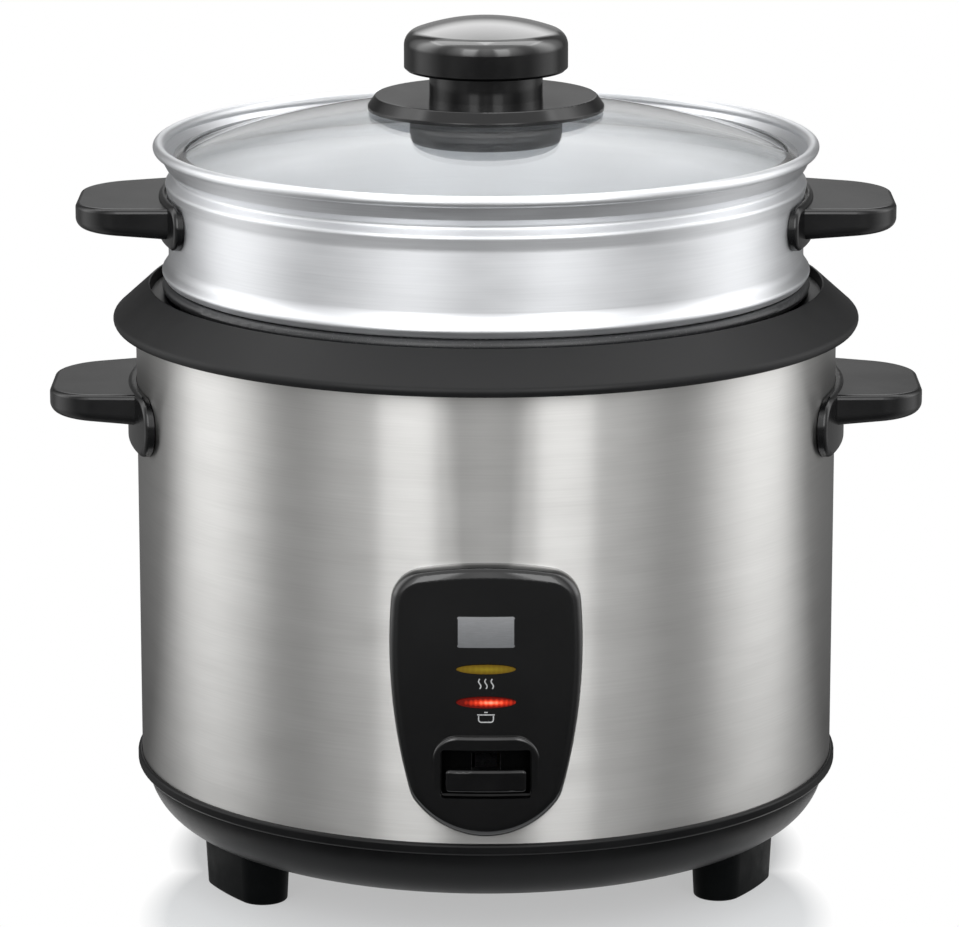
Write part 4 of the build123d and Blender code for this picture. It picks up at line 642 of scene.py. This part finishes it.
# Neon lamps: two small sealed glass bulbs behind the lenses, clipped in the lamp holder.
# The glass is clear with a light mist from the sealing.
lamp_glass, lamp_shader = new_finish("lamp_glass", {"Transmission Weight": 1.0, "IOR": 1.48})
lamp_tree = lamp_glass.node_tree
lamp_place = add_node(lamp_tree, "TexCoord").outputs["Object"]
lamp_mist = add_node(lamp_tree, "TexNoise", {"Vector": lamp_place, "Scale": 700.0}).outputs["Fac"]
lamp_tree.links.new(value_between(lamp_tree, lamp_mist, 0.02, 0.12), lamp_shader.inputs["Roughness"])
dress(lamp_glass, "warm_lamp", "cook_lamp")

# Power inlet: the socket for an appliance lead, pressed in black thermoset and let into the drum's back.
# Its three pins are turned brass.
inlet_plastic = moulded_plastic("inlet_plastic", (0.012, 0.012, 0.013), (0.020, 0.020, 0.021),
                                0.34, 0.48, 2200, 60)
dress(inlet_plastic, "power_inlet")
pin_brass = plated_steel("pin_brass", (0.58, 0.40, 0.16), (0.72, 0.53, 0.24), 0.20, 0.34, 1400)
dress(pin_brass, "inlet_pins")

# Inlet screws: two plated pan heads through the socket's flange, one at each side.
# They are driven from outside into the drum's wall.
inlet_low, inlet_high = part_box("inlet_screws")
inlet_screw_x = inlet_high.x - SCREW_HEAD_R
inlet_screw_z = (inlet_low.z + inlet_high.z) / 2
put_screws("inlet_screws", "cooker",
           [(side * inlet_screw_x, inlet_high.y, inlet_screw_z) for side in (-1, 1)],
           [(0, 1, 0)] * 2, {"Shank Length": 0.010})

# Inner pot: drawn from one aluminium disc, with a rolled rim; it stands loose on the heating plate.
# It is sprayed with a dark non-stick coating with pale flecks.
FLECK_DARK, FLECK_PALE = (0.030, 0.031, 0.033), (0.17, 0.17, 0.175)
FLECK_STEP = (0.66, 0.74)
pot_coating, pot_shader = new_finish("pot_coating", {"Coat Weight": 0.15, "Coat Roughness": 0.3})
pot_tree = pot_coating.node_tree
pot_place = add_node(pot_tree, "TexCoord").outputs["Object"]
pot_fleck = add_node(pot_tree, "TexNoise", {"Vector": pot_place, "Scale": 2400.0,
                                            "Detail": 1.0}).outputs["Fac"]
pot_tree.links.new(colour_between(pot_tree, pot_fleck, FLECK_DARK, FLECK_PALE, FLECK_STEP),
                   pot_shader.inputs["Base Color"])
pot_tree.links.new(value_between(pot_tree, pot_fleck, 0.34, 0.46), pot_shader.inputs["Roughness"])
pot_tree.links.new(bump(pot_tree, pot_fleck, 1.5e-5), pot_shader.inputs["Normal"])
dress(pot_coating, "inner_pot")

# Steamer basket: aluminium spun on a former, with a ridge, a groove for the lid and a rolled rim.
# Its floor is a loose disc of duller sheet, punched with holes.
basket_aluminium = turned_metal("basket_aluminium", (0.745, 0.757, 0.776), (0.835, 0.847, 0.866),
                                0.40, 0.50, 1300, 3, 6e-6, {"Anisotropic": 0.55})
dress(basket_aluminium, "steamer_basket")
floor_aluminium = turned_metal("floor_aluminium", (0.675, 0.687, 0.705), (0.775, 0.787, 0.805),
                               0.42, 0.56, 1100, 3, 1e-5, {"Anisotropic": 0.5})
dress(floor_aluminium, "steamer_floor")

# Steamer rim: the basket's edge rolled round a wire, spun and polished in one with the wall.
# It is a skin over the solid's bead, with finer facets for the light that runs along it.
RIM_TUBE, RIM_SKIN = 0.0020, 0.0001
RIM_TURNS, RIM_SIDES = 256, 28
rim_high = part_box("steamer_basket")[1]
rim_middle_r, rim_middle_z = rim_high.x - RIM_TUBE, rim_high.z - RIM_TUBE
rim_points = []
rim_faces = []
for k in range(RIM_TURNS):
    turn = 2 * math.pi * k / RIM_TURNS
    for side in range(RIM_SIDES):
        lean = 2 * math.pi * side / RIM_SIDES
        out = rim_middle_r + (RIM_TUBE + RIM_SKIN) * math.cos(lean)
        rise = rim_middle_z + (RIM_TUBE + RIM_SKIN) * math.sin(lean)
        rim_points.append((out * math.cos(turn), out * math.sin(turn), rise))
        here, ahead = k * RIM_SIDES, (k + 1) % RIM_TURNS * RIM_SIDES
        above = (side + 1) % RIM_SIDES
        rim_faces.append((here + side, ahead + side, ahead + above, here + above))
steamer_rim = new_piece("steamer_rim", rim_points, rim_faces, basket_aluminium)
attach(steamer_rim, "steamer")

# Steamer screws: four plated pan heads, two for each handle.
# They are driven from inside the basket through its wall.
BASKET_HEAD_R, BASKET_LEAN = 0.1142, math.radians(10.8)
basket_low, basket_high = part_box("steamer_handle_screws")
basket_screw_z = (basket_low.z + basket_high.z) / 2
basket_turns = (BASKET_LEAN, -BASKET_LEAN, math.pi - BASKET_LEAN, math.pi + BASKET_LEAN)
basket_ways = [(math.cos(turn), math.sin(turn)) for turn in basket_turns]
put_screws("steamer_handle_screws", "steamer",
           [(BASKET_HEAD_R * x, BASKET_HEAD_R * y, basket_screw_z) for x, y in basket_ways],
           [(-x, -y, 0) for x, y in basket_ways], {})

# Lid: a dome of pressed and toughened glass, its edge held in a folded stainless band.
# A steel eyelet rolled into the glass is the steam vent.
lid_clear, glass_shader = new_finish("lid_clear", {"Transmission Weight": 1.0, "IOR": 1.48, "Metallic": 0.0,
                                                   "Base Color": (0.96, 0.98, 0.99, 1)})
glass_tree = lid_clear.node_tree
glass_place = add_node(glass_tree, "TexCoord").outputs["Object"]
glass_smudge = add_node(glass_tree, "TexNoise", {"Vector": glass_place, "Scale": 40.0,
                                                 "Detail": 4.0}).outputs["Fac"]
glass_tree.links.new(value_between(glass_tree, glass_smudge, 0.0, 0.03, (0.5, 0.8)),
                     glass_shader.inputs["Roughness"])
dress(lid_clear, "lid_glass")
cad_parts["lid_glass"].visible_shadow = False
band_steel = turned_metal("band_steel", (0.60, 0.60, 0.60), (0.70, 0.70, 0.70), 0.14, 0.24, 1800, 3, 3e-6,
                          {"Anisotropic": 0.3})
dress(band_steel, "lid_rim_band", "vent_eyelet")

# Knob: a gloss black cap and stem moulded in one, its crown polished by hands, on a dished skirt.
# A grey boss under the glass takes its screw, and a silicone washer seals the hole.
WORN_FROM, WORN_TO = 0.0100, 0.0060
knob_gloss = moulded_plastic("knob_gloss", (0.0028, 0.0028, 0.0030), (0.0045, 0.0045, 0.0048),
                             0.12, 0.20, 1600, 45, 3e-6, {"Coat Roughness": 0.12, "Coat IOR": 1.9})
knob_tree = knob_gloss.node_tree
knob_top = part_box("knob")[1].z
knob_tree.links.new(height_above(knob_tree, knob_top - WORN_FROM, knob_top - WORN_TO),
                    knob_tree.nodes["Principled BSDF"].inputs["Coat Weight"])
dress(knob_gloss, "knob")
skirt_gloss = moulded_plastic("skirt_gloss", (0.0030, 0.0030, 0.0033), (0.0048, 0.0048, 0.0050),
                              0.14, 0.22, 1800, 45, 4e-6)
dress(skirt_gloss, "knob_skirt")
boss_grey = moulded_plastic("boss_grey", (0.085, 0.085, 0.088), (0.12, 0.12, 0.122), 0.36, 0.50, 1800, 60)
dress(boss_grey, "knob_boss")
silicone = moulded_plastic("silicone", (0.42, 0.42, 0.41), (0.52, 0.52, 0.51), 0.50, 0.62, 1500, 80)
dress(silicone, "knob_gasket")

# Camera: a long lens straight in front, looking a little down on the cooker.
# The cooker's axis stands just right of the frame's middle, and colours are shown as they are written.
FRAME_W = 959
AXIS_PIXEL = 486
CAMERA_SENSOR, CAMERA_LENS = 36, 192.02
CAMERA_PLACE, CAMERA_TILT = (0, -1.8644, 0.5909), math.radians(76.69)
scene = bpy.context.scene
scene.view_settings.view_transform = "Standard"
camera_data = bpy.data.cameras.new("camera")
camera_data.sensor_width = CAMERA_SENSOR
camera_data.sensor_fit = "HORIZONTAL"
camera_data.lens = CAMERA_LENS
camera_data.shift_x = (FRAME_W / 2 - AXIS_PIXEL) / FRAME_W
camera = bpy.data.objects.new("camera", camera_data)
camera.location = CAMERA_PLACE
camera.rotation_euler = (CAMERA_TILT, 0, 0)
scene.collection.objects.link(camera)
scene.camera = camera

# Surround: the studio's white walls, an even soft light from all sides.
# They are white to the eye, in reflections and through glass.
SKY_LIGHT = 0.55
WHITE = (1, 1, 1, 1)


def seen_mask(tree):
    """1 for what the camera sees straight, in a reflection or through glass."""
    path = add_node(tree, "LightPath")
    straight = add_node(tree, "Math", {0: path.outputs["Is Camera Ray"], 1: path.outputs["Is Glossy Ray"]},
                        operation="MAXIMUM").outputs[0]
    return add_node(tree, "Math", {0: straight, 1: path.outputs["Is Transmission Ray"]},
                    operation="MAXIMUM").outputs[0]


surround = bpy.data.worlds.new("surround")
scene.world = surround
surround.use_nodes = True
sky = surround.node_tree
sky.nodes.clear()
sky_light = add_node(sky, "Background", {"Color": WHITE, "Strength": SKY_LIGHT})
sky_seen = add_node(sky, "Background", {"Color": WHITE, "Strength": 1.0})
sky_mix = add_node(sky, "MixShader", {0: seen_mask(sky), 1: sky_light.outputs[0], 2: sky_seen.outputs[0]})
add_node(sky, "OutputWorld", {"Surface": sky_mix.outputs[0]})

# Floor: a wide pale table top under the cooker.
# It keeps the shadow close to the feet; inside two overlapping rounds, one shifted to the front, it is greyer
# as a painted shadow falling forward, and beyond them it fades to the surround's white.
FLOOR_HALF = 4.0
TABLE_GREY = (0.75, 0.785, 0.81, 1)
TABLE_WHITE_NEAR = 0.45
PAINTED_SHADOW_ROUNDS = (((0, 0, 0), (0.110, 0.121)), ((0, -0.08, 0), (0.116, 0.127)))
floor_mesh = bpy.data.meshes.new("floor")
floor_mesh.from_pydata([(-FLOOR_HALF, -FLOOR_HALF, 0), (FLOOR_HALF, -FLOOR_HALF, 0),
                        (FLOOR_HALF, FLOOR_HALF, 0), (-FLOOR_HALF, FLOOR_HALF, 0)], [], [(0, 1, 2, 3)])
floor = bpy.data.objects.new("floor", floor_mesh)
scene.collection.objects.link(floor)


def empty_finish(name):
    """A material with no nodes yet."""
    finish = bpy.data.materials.new(name)
    finish.use_nodes = True
    finish.node_tree.nodes.clear()
    return finish


table_top = empty_finish("table_top")
table = table_top.node_tree
table_place = add_node(table, "TexCoord").outputs["Object"]
# Greyer inside the rounds, the front one shifted forward: a painted shadow disc over the rendered shadow.
shadow_disc_fades = []
for middle, edge in PAINTED_SHADOW_ROUNDS:
    from_middle = add_node(table, "VectorMath", {0: table_place, 1: middle}, operation="SUBTRACT").outputs[0]
    reach = add_node(table, "VectorMath", {0: from_middle}, operation="LENGTH").outputs["Value"]
    shadow_disc_fades.append(value_between(table, reach, TABLE_WHITE_NEAR, 1.0, edge))
shadow_disc_fade = add_node(table, "Math", {0: shadow_disc_fades[0], 1: shadow_disc_fades[1]}, operation="MINIMUM").outputs[0]
table_seen = add_node(table, "Math", {0: shadow_disc_fade, 1: seen_mask(table)}, operation="MULTIPLY").outputs[0]
table_face = add_node(table, "BsdfDiffuse", {"Color": TABLE_GREY})
table_white = add_node(table, "Emission", {"Color": WHITE, "Strength": 1.0})
table_mix = add_node(table, "MixShader", {0: table_seen, 1: table_face.outputs[0], 2: table_white.outputs[0]})
add_node(table, "OutputMaterial", {"Surface": table_mix.outputs[0]})
floor_mesh.materials.append(table_top)

# Screens: a round of paper screens and table cards, grey and white by turns, hung for the steel and the
# gloss black to reflect. Only glossy rays see them, so they put no light on the object.
SCREEN_R, SCREEN_COLUMNS = 2.4, 96
CARD_RADII, CARD_Z = (0.16, 0.3, 0.6, 1.2, SCREEN_R), 0.001
WALL_HEIGHTS = (0.3, 0.9, 1.5, 3.0)
PAPER_LIGHT = 2.3
CARD_NEAR, CARD_SHADE = (0.16, 0.7), 0.15
screen_rows = [(r, CARD_Z) for r in CARD_RADII] + [(SCREEN_R, z) for z in WALL_HEIGHTS]
screen_turns = [2 * math.pi * k / SCREEN_COLUMNS for k in range(SCREEN_COLUMNS)]
screen_points = [(r * math.sin(turn), -r * math.cos(turn), z)
                 for r, z in screen_rows for turn in screen_turns]
screen_faces = []
for row in range(len(screen_rows) - 1):
    low, high = row * SCREEN_COLUMNS, (row + 1) * SCREEN_COLUMNS
    for k in range(SCREEN_COLUMNS):
        beside = (k + 1) % SCREEN_COLUMNS
        screen_faces.append((low + k, high + k, high + beside, low + beside))
screen_mesh = bpy.data.meshes.new("screens")
screen_mesh.from_pydata(screen_points, [], screen_faces)
screens = bpy.data.objects.new("screens", screen_mesh)
scene.collection.objects.link(screens)
screens.visible_camera = screens.visible_diffuse = False
screens.visible_transmission = screens.visible_shadow = False
screen_paper = empty_finish("screen_paper")
paper = screen_paper.node_tree
paper_place = add_node(paper, "TexCoord").outputs["Object"]
paper_along = add_node(paper, "SeparateXYZ", {0: paper_place}).outputs
paper_front = add_node(paper, "Math", {0: paper_along["Y"], 1: -1.0}, operation="MULTIPLY").outputs[0]
paper_turn = add_node(paper, "Math", {0: paper_along["X"], 1: paper_front}, operation="ARCTAN2").outputs[0]
paper_side = add_node(paper, "Math", {0: paper_turn}, operation="ABSOLUTE").outputs[0]
paper_share = add_node(paper, "Math", {0: paper_side, 1: math.pi}, operation="DIVIDE").outputs[0]


def grey_steps(tree, fac, steps):
    """Grey that follows (place, value) steps."""
    return colour_steps(tree, fac, [(place, (value, value, value)) for place, value in steps])


wall_steps = [(0.0, 0.63), (0.03, 0.56), (0.064, 0.41), (0.070, 0.84), (0.17, 0.73), (0.22, 0.72),
              (0.33, 0.28), (0.40, 0.29), (0.46, 0.70), (0.53, 1.0), (0.585, 1.0), (0.66, 0.36), (0.78, 0.06)]
card_steps = [(0.0, 0.07), (0.17, 0.07), (0.25, 0.16), (0.35, 0.14), (0.50, 0.45), (0.58, 0.45),
              (0.68, 0.12), (1.0, 0.04)]
paper_lower = grey_steps(paper, paper_share, wall_steps + [(0.92, 0.05), (0.96, 0.13)])
paper_upper = grey_steps(paper, paper_share, wall_steps + [(0.86, 0.06), (0.93, 0.8)])
paper_lift = height_above(paper, WALL_HEIGHTS[1], WALL_HEIGHTS[2])
paper_wall = colour_mix(paper, paper_lift, paper_lower, paper_upper)
paper_card = grey_steps(paper, paper_share, card_steps)
paper_reach = add_node(paper, "VectorMath", {0: paper_place}, operation="LENGTH").outputs["Value"]
paper_near = value_between(paper, paper_reach, CARD_SHADE, 1.0, CARD_NEAR)
paper_low = add_node(paper, "VectorMath", {0: paper_card, "Scale": paper_near}, operation="SCALE").outputs[0]
paper_tone = colour_mix(paper, height_above(paper, 0.0, WALL_HEIGHTS[0]), paper_low, paper_wall)
paper_glow = add_node(paper, "Emission", {"Color": paper_tone, "Strength": PAPER_LIGHT})
add_node(paper, "OutputMaterial", {"Surface": paper_glow.outputs[0]})
screen_mesh.materials.append(screen_paper)

# Lamps: two soft boxes overhead with a gap between them, and one at each side of the camera.
# Each is a rectangle of white cloth on a stand, aimed at the cooker.
LAMP_OVER = {"place": (0.48, 0.1, 1.5), "aim": (0, 0, 0.1), "size": (0.7, 1.2), "power": 4.0}
LAMP_FRONT = {"place": (0.56, -1.22, 0.75), "aim": (0, 0, 0.15), "size": (0.45, 1.1), "power": 3.2}


def softbox(name, side, place, aim, size, power):
    """Rectangular lamp at a place on one side, -1 for left or 1 for right, facing aim."""
    data = bpy.data.lights.new(name, "AREA")
    data.shape = "RECTANGLE"
    data.size, data.size_y = size
    data.energy = power
    lamp = bpy.data.objects.new(name, data)
    lamp.location = (side * place[0], place[1], place[2])
    lamp.rotation_euler = (Vector(aim) - lamp.location).to_track_quat("-Z", "Y").to_euler()
    lamp.visible_camera = False
    scene.collection.objects.link(lamp)


for kind, values in (("lamp_over_", LAMP_OVER), ("lamp_", LAMP_FRONT)):
    for hand, side in (("left", -1), ("right", 1)):
        softbox(kind + hand, side, **values)
